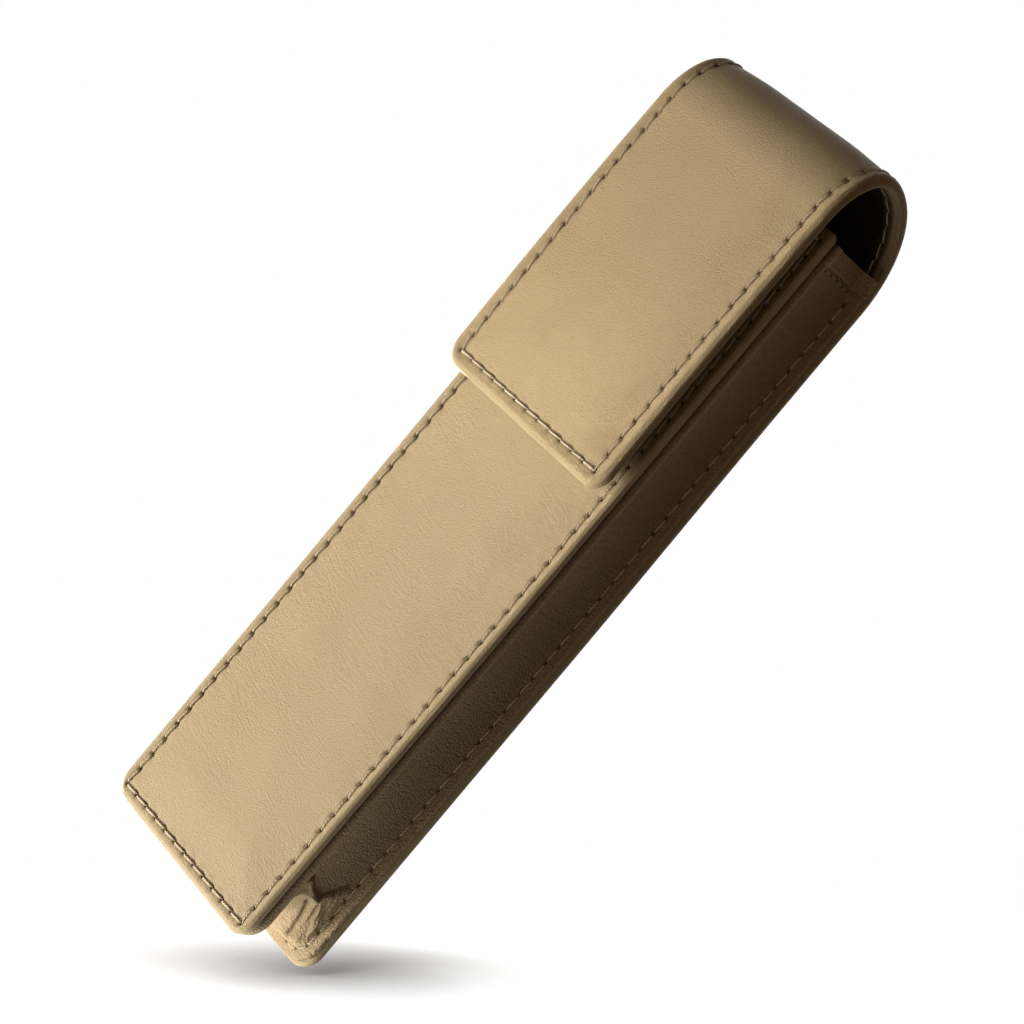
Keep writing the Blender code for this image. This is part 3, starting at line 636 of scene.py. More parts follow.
def thread_finish(name, colour):
    """Sewing thread: two strands twisted along it, from the piece's own UV map, with v in millimetres."""
    _, tree, shader = empty_material(name)
    place = add_node(tree, "ShaderNodeTexCoord").outputs["UV"]
    parts = add_node(tree, "ShaderNodeSeparateXYZ", Vector=place).outputs
    turn = maths(tree, "MULTIPLY_ADD", parts[1], 9.0, maths(tree, "MULTIPLY", parts[0], 2 * math.tau))
    strand = maths(tree, "MULTIPLY_ADD", maths(tree, "SINE", turn), 0.5, 0.5)
    fuzz = noise(tree, scaled_place(tree), 9000.0)
    height = maths(tree, "MULTIPLY_ADD", fuzz, 0.3, strand)
    set_inputs(
        tree, shader, Base_Color=mixed(tree, strand, toned(colour, 0.72), colour),
        Normal=bump(tree, height, 0.8, 0.1 * MM), Roughness=maths(tree, "MULTIPLY_ADD", fuzz, 0.2, 0.4),
    )


def board_finish(name, colour):
    """Fibre board: short matted fibres and brown flecks."""
    _, tree, shader = empty_material(name)
    fibres = noise(tree, scaled_place(tree, (1.0, 1.0, 4.0)), 1400.0, 5.0, 0.7, 1.0)
    flecks = maths(tree, "MULTIPLY", noise(tree, scaled_place(tree), 420.0), 0.3)
    body = mixed(tree, fibres, toned(colour, 0.7), colour)
    set_inputs(
        tree, shader, Base_Color=mixed(tree, flecks, body, (0.25, 0.20, 0.15)),
        Normal=bump(tree, fibres, 0.5, 0.2 * MM), Roughness=maths(tree, "MULTIPLY_ADD", fibres, 0.15, 0.78),
    )


def metal_finish(name, colour, roughness, centre):
    """Turned metal: fine rings from noise along the distance to the snap's axis, and faint smears."""
    _, tree, shader = empty_material(name)
    place = add_node(tree, "ShaderNodeTexCoord").outputs["Object"]
    moved = add_node(tree, "ShaderNodeMapping", Vector=place, Location=tuple(-c for c in centre)).outputs[0]
    parts = add_node(tree, "ShaderNodeSeparateXYZ", Vector=moved).outputs
    square = maths(tree, "MULTIPLY", parts[0], parts[0])
    radius = maths(tree, "SQRT", maths(tree, "MULTIPLY_ADD", parts[2], parts[2], square))
    rings = noise(tree, add_node(tree, "ShaderNodeCombineXYZ", X=radius).outputs[0], 9000.0)
    smear = noise(tree, scaled_place(tree), 350.0, 3.0)
    set_inputs(
        tree, shader, Base_Color=mixed(tree, smear, colour, toned(colour, 0.72)), Metallic=1.0,
        Normal=bump(tree, rings, 0.25, 0.04 * MM),
        Roughness=maths(tree, "MULTIPLY_ADD", smear, 0.2, roughness),
    )


def finishes(colours):
    """Every finish, made once and kept by name."""
    if not bpy.data.materials.get("panel_leather"):
        leather, gusset = tuple(colours.leather), tuple(colours.gusset)
        low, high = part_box("snap_cup")
        snap = tuple((low + high) / 2)
        # Each leather's grain, pebble, crease, roughness, shine and tone
        leather_finish("panel_leather", leather, 3900.0, 0.25, 0.10, 0.32, 0.17, 0.18)
        leather_finish("wrap_leather", leather, 3600.0, 0.34, 0.03, 0.32, 0.06, 0.24)
        leather_finish("thin_leather", gusset, 2700.0, 0.68, 0.06, 0.42, 0.07, 0.5)
        lining_finish("napped_lining", tuple(colours.lining))
        thread_finish("sewing_thread", tuple(colours.thread))
        board_finish("fibre_board", tuple(colours.board))
        metal_finish("turned_brass", tuple(colours.brass), 0.22, snap)
        metal_finish("plated_magnet", tuple(colours.magnet), 0.30, snap)
        metal_finish("stamped_steel", tuple(colours.steel), 0.32, snap)
    return bpy.data.materials


def at_hand(context):
    """The sizes set in the scene, and its finishes."""
    return context.scene.pen_case_sizes, finishes(context.scene.pen_case_colours)


# Panel and wrap

# Profiles go from the face round the edge to the back, as inset from the edge and depth, in millimetres
FACE_INSETS = [
    5.6, 5.1, 4.7, 4.35, 4.05, 3.8, 3.6, 3.44, 3.3, 3.17,
    3.05, 2.93, 2.8, 2.66, 2.5, 2.3, 2.1, 1.85, 1.6, 1.35,
]


def arc(centre_inset, centre_depth, radius, start, end, steps):
    """Part of a circle in a profile: 0 degrees is its top, 90 its outermost point and 180 its back."""
    turns = np.radians(np.linspace(start, end, steps))
    return [(centre_inset - radius * math.sin(t), centre_depth - radius * math.cos(t)) for t in turns]


def leather_profile(edge, leather, margin):
    """The face in to the edge's own curve, the turned margin behind, and the pocket under its lip."""
    face = [(inset, 0.0) for inset in FACE_INSETS if inset > edge[0][0] + 0.1]
    end, lip = margin[-1][0] + 0.05, margin[-1][1] - 0.27
    return np.array([*face, *edge, *margin, (end, lip), (2.05, lip), (2.1, leather), (3.2, leather)]) * MM


def lining_profile(low, high, edge):
    """A thin sheet's section: out along its back, round its rounded edge and in along its napped face."""
    half = (high - low) / 2
    turns = np.radians(np.linspace(-90.0, 90.0, 7))
    rim = [(edge + half * (1 - math.cos(turn)), low + half * (1 + math.sin(turn))) for turn in turns]
    return np.array([(5.0, low), (edge + 1.0, low), *rim, (edge + 1.0, high), (5.0, high)]) * MM


PANEL_EDGE = [*arc(1.35, 0.95, 0.95, 0.0, 72.0, 8), (0.44, 0.86), *arc(0.42, 1.07, 0.18, 60.0, 175.0, 5)]
WRAP_EDGE = [*arc(1.3, 1.25, 1.25, 0.0, 90.0, 9), *arc(0.75, 1.35, 0.75, 90.0, 175.0, 6)]
# Turned margins behind the edge: flat ones, and one laid over the lining
PANEL_MARGIN = [(1.3, 1.25), (1.95, 1.25)]
FLAT_MARGIN = [(1.3, 2.1), (2.7, 2.1)]
LAPPED_MARGIN = [
    (1.3, 2.2), (1.7, 2.38), (2.1, 2.48), (2.4, 2.5), (2.6, 2.5), (2.78, 2.5),
    (2.95, 2.5), (3.12, 2.5), (3.3, 2.52), (3.6, 2.54), (3.85, 2.54), (4.05, 2.5),
]
PANEL_PROFILE = leather_profile(PANEL_EDGE, 0.75, PANEL_MARGIN)
BACK_PROFILE = leather_profile(WRAP_EDGE, 0.6, FLAT_MARGIN)
LAPPED_PROFILE = leather_profile(WRAP_EDGE, 0.6, LAPPED_MARGIN)
LINING_PROFILE = lining_profile(1.8, 2.2, 3.3)
PANEL_LINING_PROFILE = lining_profile(1.73, 2.2, 2.2)
# Columns that fill a plate in to its middle, on its face and on its back
LEATHER_FILLS = (9, 4)
LINING_FILLS = (5, 5)


def seam_on(holes, seam_inset, sizes, seed):
    """A relief for a plate: the seam's, on its face and a lapped margin, with a faint unevenness all over,
    and painted shade on the seam and on the margin's inner band.
    """

    def relief(across, rise, inset, depth):
        height, painted_shade = seam_relief(across, rise, inset, holes, seam_inset, sizes)
        u, v, inset, down = across / MM, rise / MM, inset / MM, depth / MM
        facing = (down < 0.35) * 1.0
        behind = ease(down, 2.3, 2.4) * (inset < 4.2)
        inside = ease(inset, 3.4, 5.0)
        uneven = 0.05 * ripple(u, v, 16.0, seed) * inside + 0.05 * ripple(u, v, 9.0, seed + 1) * (1 - inside)
        pucker = 0.05 * ripple(0.25 * u, v, 1.1, seed + 2) - 0.3 * painted_shade
        # painted shade: the lapped margin's inner band is darkened where the case's inside is shaded
        painted_margin_shade = 0.92 * behind * ease(inset, 0.8, 2.2)
        painted_shade = np.maximum(painted_shade * np.maximum(facing, behind), painted_margin_shade)
        return depth - facing * (height + MM * uneven) + MM * behind * pucker, painted_shade

    return relief


def even_pitch(height, inset, stitch):
    """Length of a stitch up a side, close to the one given, that divides the whole seam evenly."""
    seam = height - 2 * inset
    return seam / round(seam / stitch)


def wrap_seam(sizes):
    """The wrap's seam: stitch length, inset, holes by across and run, and runs of the stitches' middles."""
    inset = sizes.wrap_inset
    pitch = even_pitch(WRAP_END, inset, WRAP_STITCH)
    total = round((WRAP_END - 2 * inset) / pitch)
    return pitch, inset, seam_holes(WRAP_END, pitch, inset), inset + (np.arange(total) + 0.5) * pitch


def side_rows(pitch, first, last, inset):
    """Starts, ends and inward ways of the stitches on both sides, from one hole number to another."""
    ups = inset + np.arange(first, last + 1) * pitch
    sides = [row_through([(side * (HALF - inset), up) for up in ups], (-side, 0.0)) for side in (1, -1)]
    return [right + left for right, left in zip(*sides)]


def row_through(places, way):
    """Starts, ends and inward ways of the stitches from each place to the next."""
    return places[:-1], places[1:], [way] * (len(places) - 1)


def end_row(height, inset, up):
    """Starts, ends and inward ways of the stitches along one end."""
    return row_through([(x, height) for x in end_marks(inset)], (0.0, up))


def joined(*rows):
    """Stitch rows put together, as arrays of starts, ends and inward ways."""
    return [np.array([item for row in rows for item in row[part]], float) for part in range(3)]


class PENCASE_OT_front_panel(bpy.types.Operator):
    """Front panel: leather turned over its edges, sewn all round"""

    bl_idname = "pencase.front_panel"
    bl_label = "Front Panel"

    def execute(self, context):
        sizes, made = at_hand(context)
        inset = sizes.panel_inset
        pitch = even_pitch(PANEL_TOP, inset, PANEL_STITCH)
        skin = plate(
            "front_skin", fold_front, PANEL_TOP, (sizes.panel_corner, sizes.mouth_corner),
            pitch / STITCH_POINTS, PANEL_PROFILE, LEATHER_FILLS, made["panel_leather"],
            seam_on(seam_holes(PANEL_TOP, pitch, inset), inset, sizes, 3),
        )
        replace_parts(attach(skin, "case"), "front_leather")
        count = round((PANEL_TOP - 2 * inset) / pitch)
        ends = end_row(inset, inset, 1.0), end_row(PANEL_TOP - inset, inset, -1.0)
        seam = stitches("front_stitches", joined(side_rows(pitch, 0, count, inset), *ends), fold_front, sizes)
        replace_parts(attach(seam, "case"), "front_seam_thread")
        return {"FINISHED"}


class PENCASE_OT_back_panel(bpy.types.Operator):
    """Back panel: the wrap up to the spring of the crown, and its stitches"""

    bl_idname = "pencase.back_panel"
    bl_label = "Back Panel"

    def execute(self, context):
        sizes, made = at_hand(context)
        pitch, inset, holes, _ = wrap_seam(sizes)
        skin = plate(
            "back_skin", fold_wrap, BACK_HEIGHT, (sizes.panel_corner, None), pitch / STITCH_POINTS,
            BACK_PROFILE, LEATHER_FILLS, made["wrap_leather"], seam_on(holes, inset, sizes, 5),
        )
        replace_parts(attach(skin, "case"), "back_leather")
        count = int((BACK_HEIGHT - inset) / pitch)
        rows = joined(side_rows(pitch, 0, count, inset), end_row(inset, inset, 1.0))
        seam = stitches("back_stitches", rows, fold_wrap, sizes)
        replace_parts(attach(seam, "case"), "back_seam_thread")
        return {"FINISHED"}


class PENCASE_OT_crown(bpy.types.Operator):
    """Crown: the wrap over the mouth in four strips, with lining and stitches"""

    bl_idname = "pencase.crown"
    bl_label = "Crown"

    def execute(self, context):
        sizes, made = at_hand(context)
        pitch, inset, holes, middles = wrap_seam(sizes)
        relief = seam_on(holes, inset, sizes, 5)
        leather, cloth = made["wrap_leather"], made["napped_lining"]
        for number in range(STRIPS):
            low, high = STRIP_RUN[number], STRIP_RUN[number + 1]
            start, end = fold_wrap(0.0, low, 0.0), fold_wrap(0.0, high, 0.0)
            label = str(number + 1)
            has_nodes = number < STRIPS - 1
            fine = np.linspace(low, high, round((high - low) / CROWN_STEP) + 1)
            coarse = np.linspace(low, high, CROWN_LINING_POINTS)
            skin = strip("crown_skin_" + label, fine, LAPPED_PROFILE, LEATHER_FILLS, leather, relief)
            if has_nodes:
                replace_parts(skin, "crown_leather_" + label)
            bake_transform(skin)
            lining = strip("crown_lining_cloth_" + label, coarse, LINING_PROFILE, LINING_FILLS, cloth)
            if has_nodes:
                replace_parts(lining, "crown_lining_" + label)
            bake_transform(lining)
            here = np.flatnonzero((middles > low) & (middles <= high))
            rows = joined(side_rows(pitch, here[0], here[-1] + 1, inset))
            seam = stitches("crown_stitches_" + label, rows, fold_wrap, sizes)
            if has_nodes:
                nodes = ["crown_seam_thread_" + label + "_" + side for side in ("right", "left")]
                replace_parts(seam, *nodes)
            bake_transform(seam)
            under = stitches("crown_understitches_" + label, rows, fold_inside, sizes)
            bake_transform(under)
        return {"FINISHED"}


class PENCASE_OT_flap(bpy.types.Operator):
    """Flap: the wrap down the front to its rounded end, and its stitches"""

    bl_idname = "pencase.flap"
    bl_label = "Flap"

    def execute(self, context):
        sizes, made = at_hand(context)
        pitch, inset, holes, middles = wrap_seam(sizes)
        from_edge = holes * [1, -1, 1, -1, 1, -1] + [0, WRAP_END, 0, 0, 0, 0]
        skin = plate(
            "flap_skin", fold_flap, FLAP_HEIGHT, (sizes.flap_corner, None), pitch / STITCH_POINTS,
            LAPPED_PROFILE, LEATHER_FILLS, made["wrap_leather"], seam_on(from_edge, inset, sizes, 7),
        )
        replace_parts(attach(skin, "flap"), "flap_leather")
        first = np.flatnonzero(middles > STRIP_RUN[-1])[0]
        rows = joined(side_rows(pitch, first, len(middles), inset), end_row(WRAP_END - inset, inset, -1.0))
        seam = stitches("flap_stitches", rows, fold_wrap, sizes)
        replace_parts(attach(seam, "flap"), "flap_seam_thread")
        return {"FINISHED"}


# Linings and divider


class PENCASE_OT_linings(bpy.types.Operator):
    """Linings: napped sheets behind the front panel, the back panel and the flap"""

    bl_idname = "pencase.linings"
    bl_label = "Linings"

    def execute(self, context):
        sizes, made = at_hand(context)
        corner, mouth, flap_corner = sizes.panel_corner, sizes.mouth_corner, sizes.flap_corner

        def sheet(name, fold, height, corners, profile):
            return plate(name, fold, height, corners, 1.0 * MM, profile, LINING_FILLS, made["napped_lining"])

        front = sheet("front_lining_cloth", fold_front, PANEL_TOP, (corner, mouth), PANEL_LINING_PROFILE)
        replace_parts(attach(front, "case"), "front_lining")
        back = sheet("back_lining_cloth", fold_wrap, BACK_HEIGHT, (corner, None), LINING_PROFILE)
        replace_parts(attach(back, "case"), "back_lining")
        flap = sheet("flap_lining_cloth", fold_flap, FLAP_HEIGHT, (flap_corner, None), LINING_PROFILE)
        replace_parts(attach(flap, "flap"), "flap_lining")
        return {"FINISHED"}


class PENCASE_OT_divider(bpy.types.Operator):
    """Divider: a lined tongue between the pockets, rounded at both ends and swaying a little"""

    bl_idname = "pencase.divider"
    bl_label = "Divider"

    def execute(self, context):
        made = at_hand(context)[1]
        half_x, half_y = DIVIDER_HIGH.x, (DIVIDER_HIGH.y - DIVIDER_LOW.y) / 2
        middle = (DIVIDER_HIGH.y + DIVIDER_LOW.y) / 2
        turn = np.linspace(0.0, 2 * np.pi, 49)[:-1]
        # The section is a circle squared off by a low power, and the ends close as quarter circles
        squareness, closing = 0.22, 0.92
        x = half_x * np.sign(np.cos(turn)) * np.abs(np.cos(turn)) ** squareness
        y = half_y * np.sign(np.sin(turn)) * np.abs(np.sin(turn)) ** squareness
        z = np.linspace(DIVIDER_LOW.z, DIVIDER_HIGH.z, 120)[:, None]
        near_end = np.clip(np.minimum(z - DIVIDER_LOW.z, DIVIDER_HIGH.z - z) / half_x, 0, 1)
        inset = closing * half_x * (1 - np.sqrt(np.clip(1 - (1 - near_end) ** 2, 0.0, 1.0)))
        sway = 0.18 * MM * np.sin(z / (19 * MM)) * np.cos(y / half_y * 1.4)
        x, y = x * (1 - inset / half_x) + sway, middle + y * (1 - inset / half_y)
        points = np.stack(np.broadcast_arrays(x, y, z), axis=-1)
        tongue = tube("divider_tongue", points, made["napped_lining"])
        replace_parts(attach(tongue, "case"), "pocket_divider")
        return {"FINISHED"}


# Gusset


def unit(vector):
    """A vector of length one the same way."""
    return vector / np.linalg.norm(vector)


def rounded_corners(points, radii, steps):
    """A closed line through points with each corner rounded: an arc between the two sides' tangent points."""
    points, made = np.array(points), []
    neighbours = np.roll(points, 1, axis=0), np.roll(points, -1, axis=0)
    for point, radius, before, after in zip(points, radii, *neighbours):
        if radius <= 0:
            made.append(point)
            continue
        first, second = unit(before - point), unit(after - point)
        angle = math.acos(np.clip(first @ second, -1, 1))
        reach = radius / math.tan(angle / 2)
        centre = point + unit(first + second) * radius / math.sin(angle / 2)
        start, end = point + first * reach - centre, point + second * reach - centre
        for share in np.linspace(0.0, 1.0, steps):
            made.append(centre + unit(start * (1 - share) + end * share) * radius)
    return np.array(made)


def evenly(points, inner, wall, rest):
    """More points along a closed line, in steps for its inner side, for the long wall and for the rest."""
    made = []
    for first, second in zip(points, np.roll(points, -1, axis=0)):
        length = np.linalg.norm(second - first)
        step = inner if max(first[0], second[0]) < 0.1 else wall if length > 6.0 else rest
        count = max(1, int(length / step))
        made.append(first + (second - first) * (np.arange(count) / count)[:, None])
    return np.concatenate(made)


# Section of the gusset in millimetres: reach out from its inner side, and depth from front to back
GUSSET_CORNERS = [
    (0.0, 9.9), (0.0, -4.4), (1.5, -4.4), (1.7, -4.85), (2.6, -4.95), (3.45, -4.0), (3.25, -2.9),
    (0.85, -2.75), (0.75, 8.75), (3.3, 9.15), (3.3, 10.08), (1.65, 10.08), (1.6, 9.9),
]
GUSSET_ROUNDINGS = [0, 0.2, 0.05, 0.1, 0.35, 0.6, 0.5, 0.5, 0.9, 0.4, 0.4, 0.05, 0.05]
GUSSET_SECTION = evenly(rounded_corners(GUSSET_CORNERS, GUSSET_ROUNDINGS, 4), 1.2, 0.24, 0.36) * MM
# Runs go down the side from the mouth, round the bend and in along the base
WALL_FACE = 0.8 * MM
FLANGE_FACE = 8.8 * MM
BASE_BEND = 2.0 * MM
NOMINAL_BEND = 5.0 * MM
SIDE_RUN = MOUTH - BASE_Z - NOMINAL_BEND
BEND_END = SIDE_RUN + NOMINAL_BEND * math.pi / 2
HEM_RUN = 3.4 * MM
HEM_SEAM_RUN = HEM_RUN + 0.9 * MM
HEM_SEAM = (-2.0 * MM, 8.0 * MM)
HEM_STITCHES = 5
FLANGE_SEAM = 1.45 * MM
SEAM_START = 6.4 * MM
SEAM_END = BEND_END + 3.0 * MM
# Fold lines at the gusset's lower corner in millimetres: depth, and run past the end of the straight side
WALL_END = [(-2.6, -6.5), (-1.2, -4.8), (1.6, -1.6), (4.0, -0.4), (5.9, -4.2), (7.7, -10.0)]
PLEAT = [(2.6, 0.6), (3.8, 1.1), (5.6, 2.5), (6.6, 4.2), (7.1, 5.6)]
PLEAT_BACK = [(4.3, 0.1), (5.6, 1.0), (6.6, 3.1), (7.1, 4.7)]


def inside_of_back(z):
    """How far back the wrap's lining lies at each height, read off the folded wrap."""
    line = fold_wrap(0.0, np.linspace(STRIP_RUN[0], STRIP_RUN[1], 200), WRAP_WALL)
    return np.interp(z, line[:, 2], line[:, 1])


def gusset_point(run, reach, depth):
    """A point of the gusset's right half.

    The flanges bend tightly with the panels' corners. The wall between them turns in a wide slant, on a line
    most of the way from its quarter circle to the chord.
    """
    flat = ease(depth, -3.4 * MM, 0.5 * MM) * (1 - ease(depth, 4.5 * MM, 8.8 * MM))
    bend, chord = BASE_BEND + 6.5 * MM * flat, 0.8 * flat
    down = np.minimum(run, SIDE_RUN) / SIDE_RUN * (MOUTH - BASE_Z - bend)
    share = np.clip((run - SIDE_RUN) / (BEND_END - SIDE_RUN), 0.0, 1.0)
    turn = share * np.pi / 2
    over = np.clip(run - BEND_END, 0.0, None) / (GUSSET_X - NOMINAL_BEND)
    out = bend + reach
    x = (GUSSET_X - bend) * (1.0 - over) + out * ((1 - chord) * np.cos(turn) + chord * (1 - share))
    z = MOUTH - down - out * ((1 - chord) * np.sin(turn) + chord * share)
    depth = depth - ease(depth, 3.0 * MM, 9.0 * MM) * (BACK_FACE - WRAP_WALL - inside_of_back(z))
    return x, depth, z


def past(low, depth, line):
    """Distance of a place from a fold line, negative above it: the least of those to its stretches."""
    marks = np.array(line)
    least = np.inf
    for first, way in zip(marks[:-1], np.diff(marks, axis=0)):
        off_depth, off_low = depth - first[0], low - first[1]
        share = np.clip((off_depth * way[0] + off_low * way[1]) / (way @ way), 0.0, 1.0)
        least = np.minimum(least, np.hypot(off_depth - share * way[0], off_low - share * way[1]))
    return np.sign(low - np.interp(depth, marks[:, 0], marks[:, 1])) * least


def hole_row(along, off, pitch, length, width, line):
    """The painted shade of a row of holes: a faint line and a bell at every hole, under a bell across the
    row.
    """
    from_hole = (along + pitch / 2) % pitch - pitch / 2
    return (0.9 * hump(from_hole, length * MM) + line) * hump(off, width * MM)


def gusset_relief(run, reach, depth):
    """How far the gusset's outer side stands out, and the painted shade in its folds, gaps and holes.

    The corner's leather laps over the end of the wall, a pleat runs down from there with a second one behind
    it, and wrinkles run behind those. At the mouth a turned hem laps over wall and flanges.
    """
    hem_pitch = (HEM_SEAM[1] - HEM_SEAM[0]) / HEM_STITCHES
    flange_holes = hole_row(run - SEAM_START, reach - FLANGE_SEAM, WRAP_STITCH, 0.42, 0.26, 0.25)
    hem_holes = hole_row(depth - HEM_SEAM[0], run - HEM_SEAM_RUN, hem_pitch, 0.34, 0.24, 0.3)
    low, below_hem, on_seam = ((run - mark) / MM for mark in (SIDE_RUN, HEM_RUN, SEAM_START))
    hem_start, hem_end = HEM_SEAM[0] / MM - 0.3, HEM_SEAM[1] / MM + 0.3
    run, reach, depth = run / MM, reach / MM, depth / MM

    lap, pleat, back = (past(low, depth, line) for line in (WALL_END, PLEAT, PLEAT_BACK))
    outer = (reach > 0.4) * 1.0
    wall = outer * ease(depth, -3.0, -1.6) * (1 - ease(depth, 7.4, 8.9))
    before_flange = 1 - ease(depth, 7.0, 7.8)
    first = wall * ease(depth, 2.2, 2.9) * before_flange
    second = wall * ease(depth, 4.2, 4.8) * before_flange
    wrinkled = wall * ease(-back, -0.1, 0.6) * ease(lap, 0.0, 1.0) * ease(depth, 4.3, 5.4)
    crumpled = outer * ease(lap, -1.0, 1.0) * ease(depth, 2.0, 6.0)
    hem = 1.0 - ease(below_hem, -0.12, 0.12)

    lapped = 0.38 * ease(lap, -0.15, 0.25) + 0.16 * hump(lap - 0.50, 0.45)
    stand = wall * (0.14 * ripple(run, depth, 22.0, 11) + lapped)
    stand = stand + first * (0.40 * hump(pleat + 0.75, 0.5) - 0.70 * hump(pleat, 0.27))
    stand = stand - second * 0.34 * hump(back + 0.15, 0.35)
    stand = stand + wrinkled * 0.20 * ripple(depth - 0.12 * run, 0.25 * run, 1.25, 17)
    stand = stand - crumpled * 0.08 * ripple(run, 0.4 * depth, 1.5, 19)
    stand = stand + outer * (0.28 * hem - 0.10 * hump(run - 6.2, 0.2) * (1 - wall))

    # painted shade: at the lapped step, in both pleats and under the hem's edge
    painted_shade = wall * 0.5 * hump(lap + 0.15, 0.24) + first * 0.9 * hump(pleat, 0.18)
    painted_shade = painted_shade + second * 0.35 * hump(back + 0.15, 0.25) + outer * 0.5 * hump(below_hem - 0.2, 0.14)
    # painted shade in the gap on the front flange's hidden side, behind the front panel
    painted_shade = painted_shade + outer * 0.85 * (1 - ease(depth, -4.75, -4.3)) * (1 - ease(low, 0.0, 4.0))
    # painted shade growing towards the back flange, and in the hem's needle holes
    shade = ease(depth, -3.0, 7.0) * (1 - ease(depth, 8.6, 9.0)) * (1 - ease(lap, -1.0, 0.0))
    painted_shade = painted_shade + outer * (0.33 * shade + hem_holes * (depth > hem_start) * (depth < hem_end))
    # painted shade in the flange seam's needle holes
    painted_shade = painted_shade + flange_holes * (depth > 8.4) * (depth < 9.4) * (on_seam > -1.0)
    return MM * stand, np.clip(painted_shade, 0.0, 1.0)


def fold_wall(side):
    """The gusset's wall as a fold: across is its depth from the front, and rise its run from the mouth."""

    def fold(across, rise, depth):
        stand, _ = gusset_relief(rise, WALL_FACE, across)
        x, y, z = gusset_point(rise, WALL_FACE + stand - depth, across)
        return settle(side * x, y, z)

    return fold


def fold_flange(side):
    """The gusset's back flange as a fold: across is its reach, and rise its run from the mouth."""

    def fold(across, rise, depth):
        x, y, z = gusset_point(rise, across, FLANGE_FACE + depth)
        return settle(side * x, y, z)

    return fold


class PENCASE_OT_gusset(bpy.types.Operator):
    """Gusset: one strip of thin leather round both sides and the base, with its folded flanges"""

    bl_idname = "pencase.gusset"
    bl_label = "Gusset"

    def execute(self, context):
        sizes, made = at_hand(context)
        marks = [0.0, 8.0 * MM, SIDE_RUN - 13.0 * MM, BEND_END, BEND_END + GUSSET_X - NOMINAL_BEND]
        counts = (44, 150, 120, 24)
        run = np.concatenate([np.linspace(*stretch)[:-1] for stretch in zip(marks[:-1], marks[1:], counts)])
        run = np.append(run, marks[-1])[:, None]
        reach, depth = GUSSET_SECTION[None, :, 0], GUSSET_SECTION[None, :, 1]
        stand, painted_shade = gusset_relief(run, reach, depth)
        x, y, z = gusset_point(run, reach + stand, depth)
        points = np.concatenate([settle(x, y, z), settle(-x, y, z)[:-1][::-1]])
        painted_shade = np.concatenate([painted_shade, painted_shade[:-1][::-1]])
        skin = tube("gusset_skin", points, made["thin_leather"], painted_shade)
        flange = [(FLANGE_SEAM, mark) for mark in np.arange(SEAM_START, SEAM_END, WRAP_STITCH)]
        hem = [(mark, HEM_SEAM_RUN) for mark in np.linspace(*HEM_SEAM, HEM_STITCHES + 1)]
        sunk, lean = 0.02 * MM, 0.06 * MM
        for side, label in ((1, "right"), (-1, "left")):
            row = joined(row_through(flange, (-1.0, 0.0)))
            seam = stitches("flange_stitches_" + label, row, fold_flange(side), sizes, sunk, lean)
            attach(seam, "case")
            row = joined(row_through(hem, (0.0, 0.3)))
            seam = stitches("hem_stitches_" + label, row, fold_wall(side), sizes, sunk, lean)
            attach(seam, "case")
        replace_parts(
            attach(skin, "case"),
            "gusset_right", "gusset_left", "gusset_base", "gusset_corner_right", "gusset_corner_left",
            "gusset_hem_right", "gusset_hem_left",
        )
        return {"FINISHED"}


# Hard pieces and studio

SLOT_FINISHES = {
    "leather": "wrap_leather",
    "gusset_leather": "thin_leather",
    "lining": "napped_lining",
    "thread": "sewing_thread",
    "board": "fibre_board",
    "brass": "turned_brass",
    "magnet": "plated_magnet",
    "steel": "stamped_steel",
}
WHITE = (1.0, 1.0, 1.0)
FLOOR_HALF = 0.16
FLOOR_TILT = math.radians(1.7)
SHADOW_LEFT = 0.8
SHADOW_BACK = 0.75
CASE_MIDDLE = Vector((0.0, 0.0, 83.0 * MM))
NARROW_LAMPS = (-0.42, -0.50, -0.22)


class PENCASE_OT_solids(bpy.types.Operator):
    """Snap, washers, boards and the frame's other solids, each given the finish of its slot"""

    bl_idname = "pencase.solids"
    bl_label = "Snap and Boards"

    def execute(self, context):
        made = at_hand(context)[1]
        for part in frame["record"]["subparts"]:
            node, finish = part["node"], SLOT_FINISHES[part["material_slot"]]
            if node == "front_leather":
                finish = "panel_leather"
            solid = frame["nodes"][node]
            if not solid.material_slots:
                solid.data.materials.append(made[finish])
            for slot in solid.material_slots:
                slot.material = made[finish]
        return {"FINISHED"}


def camera_axes(studio):
    """The camera's right, up and backward ways, rolled as set, and its target."""
    a, e, r = studio.azimuth, studio.elevation, studio.roll
    right = Vector((math.cos(a), math.sin(a), 0.0))
    back = Vector((math.sin(a) * math.cos(e), -math.cos(a) * math.cos(e), math.sin(e)))
    up = back.cross(right)
    target = Vector((0.0, 2.01 * MM, 0.0)) - 0.05 * MM * right + 82.5 * MM * up
    return math.cos(r) * right + math.sin(r) * up, math.cos(r) * up - math.sin(r) * right, back, target


def linked(name, data):
    """A new object of this data in the scene."""
    obj = bpy.data.objects.new(name, data)
    bpy.context.scene.collection.objects.link(obj)
    return obj


def area_lamp(name, target, way, size, power, colour=WHITE, spread=180.0):
    """A square area lamp off its target by a way and turned to it, its light within a spread in degrees."""
    lamp = bpy.data.lights.new(name, "AREA")
    lamp.shape, lamp.size, lamp.energy, lamp.color = "SQUARE", size, power, colour
    lamp.spread = math.radians(spread)
    obj, place = linked(name, lamp), target + Vector(way)
    obj.location = place
    obj.rotation_euler = (target - place).to_track_quat("-Z", "Y").to_euler()


def seen_white(tree, path):
    """1 for camera, glossy and transmission rays, and 0 for the others."""
    seen = maths(tree, "MAXIMUM", path["Is Camera Ray"], path["Is Glossy Ray"])
    return maths(tree, "MAXIMUM", seen, path["Is Transmission Ray"])


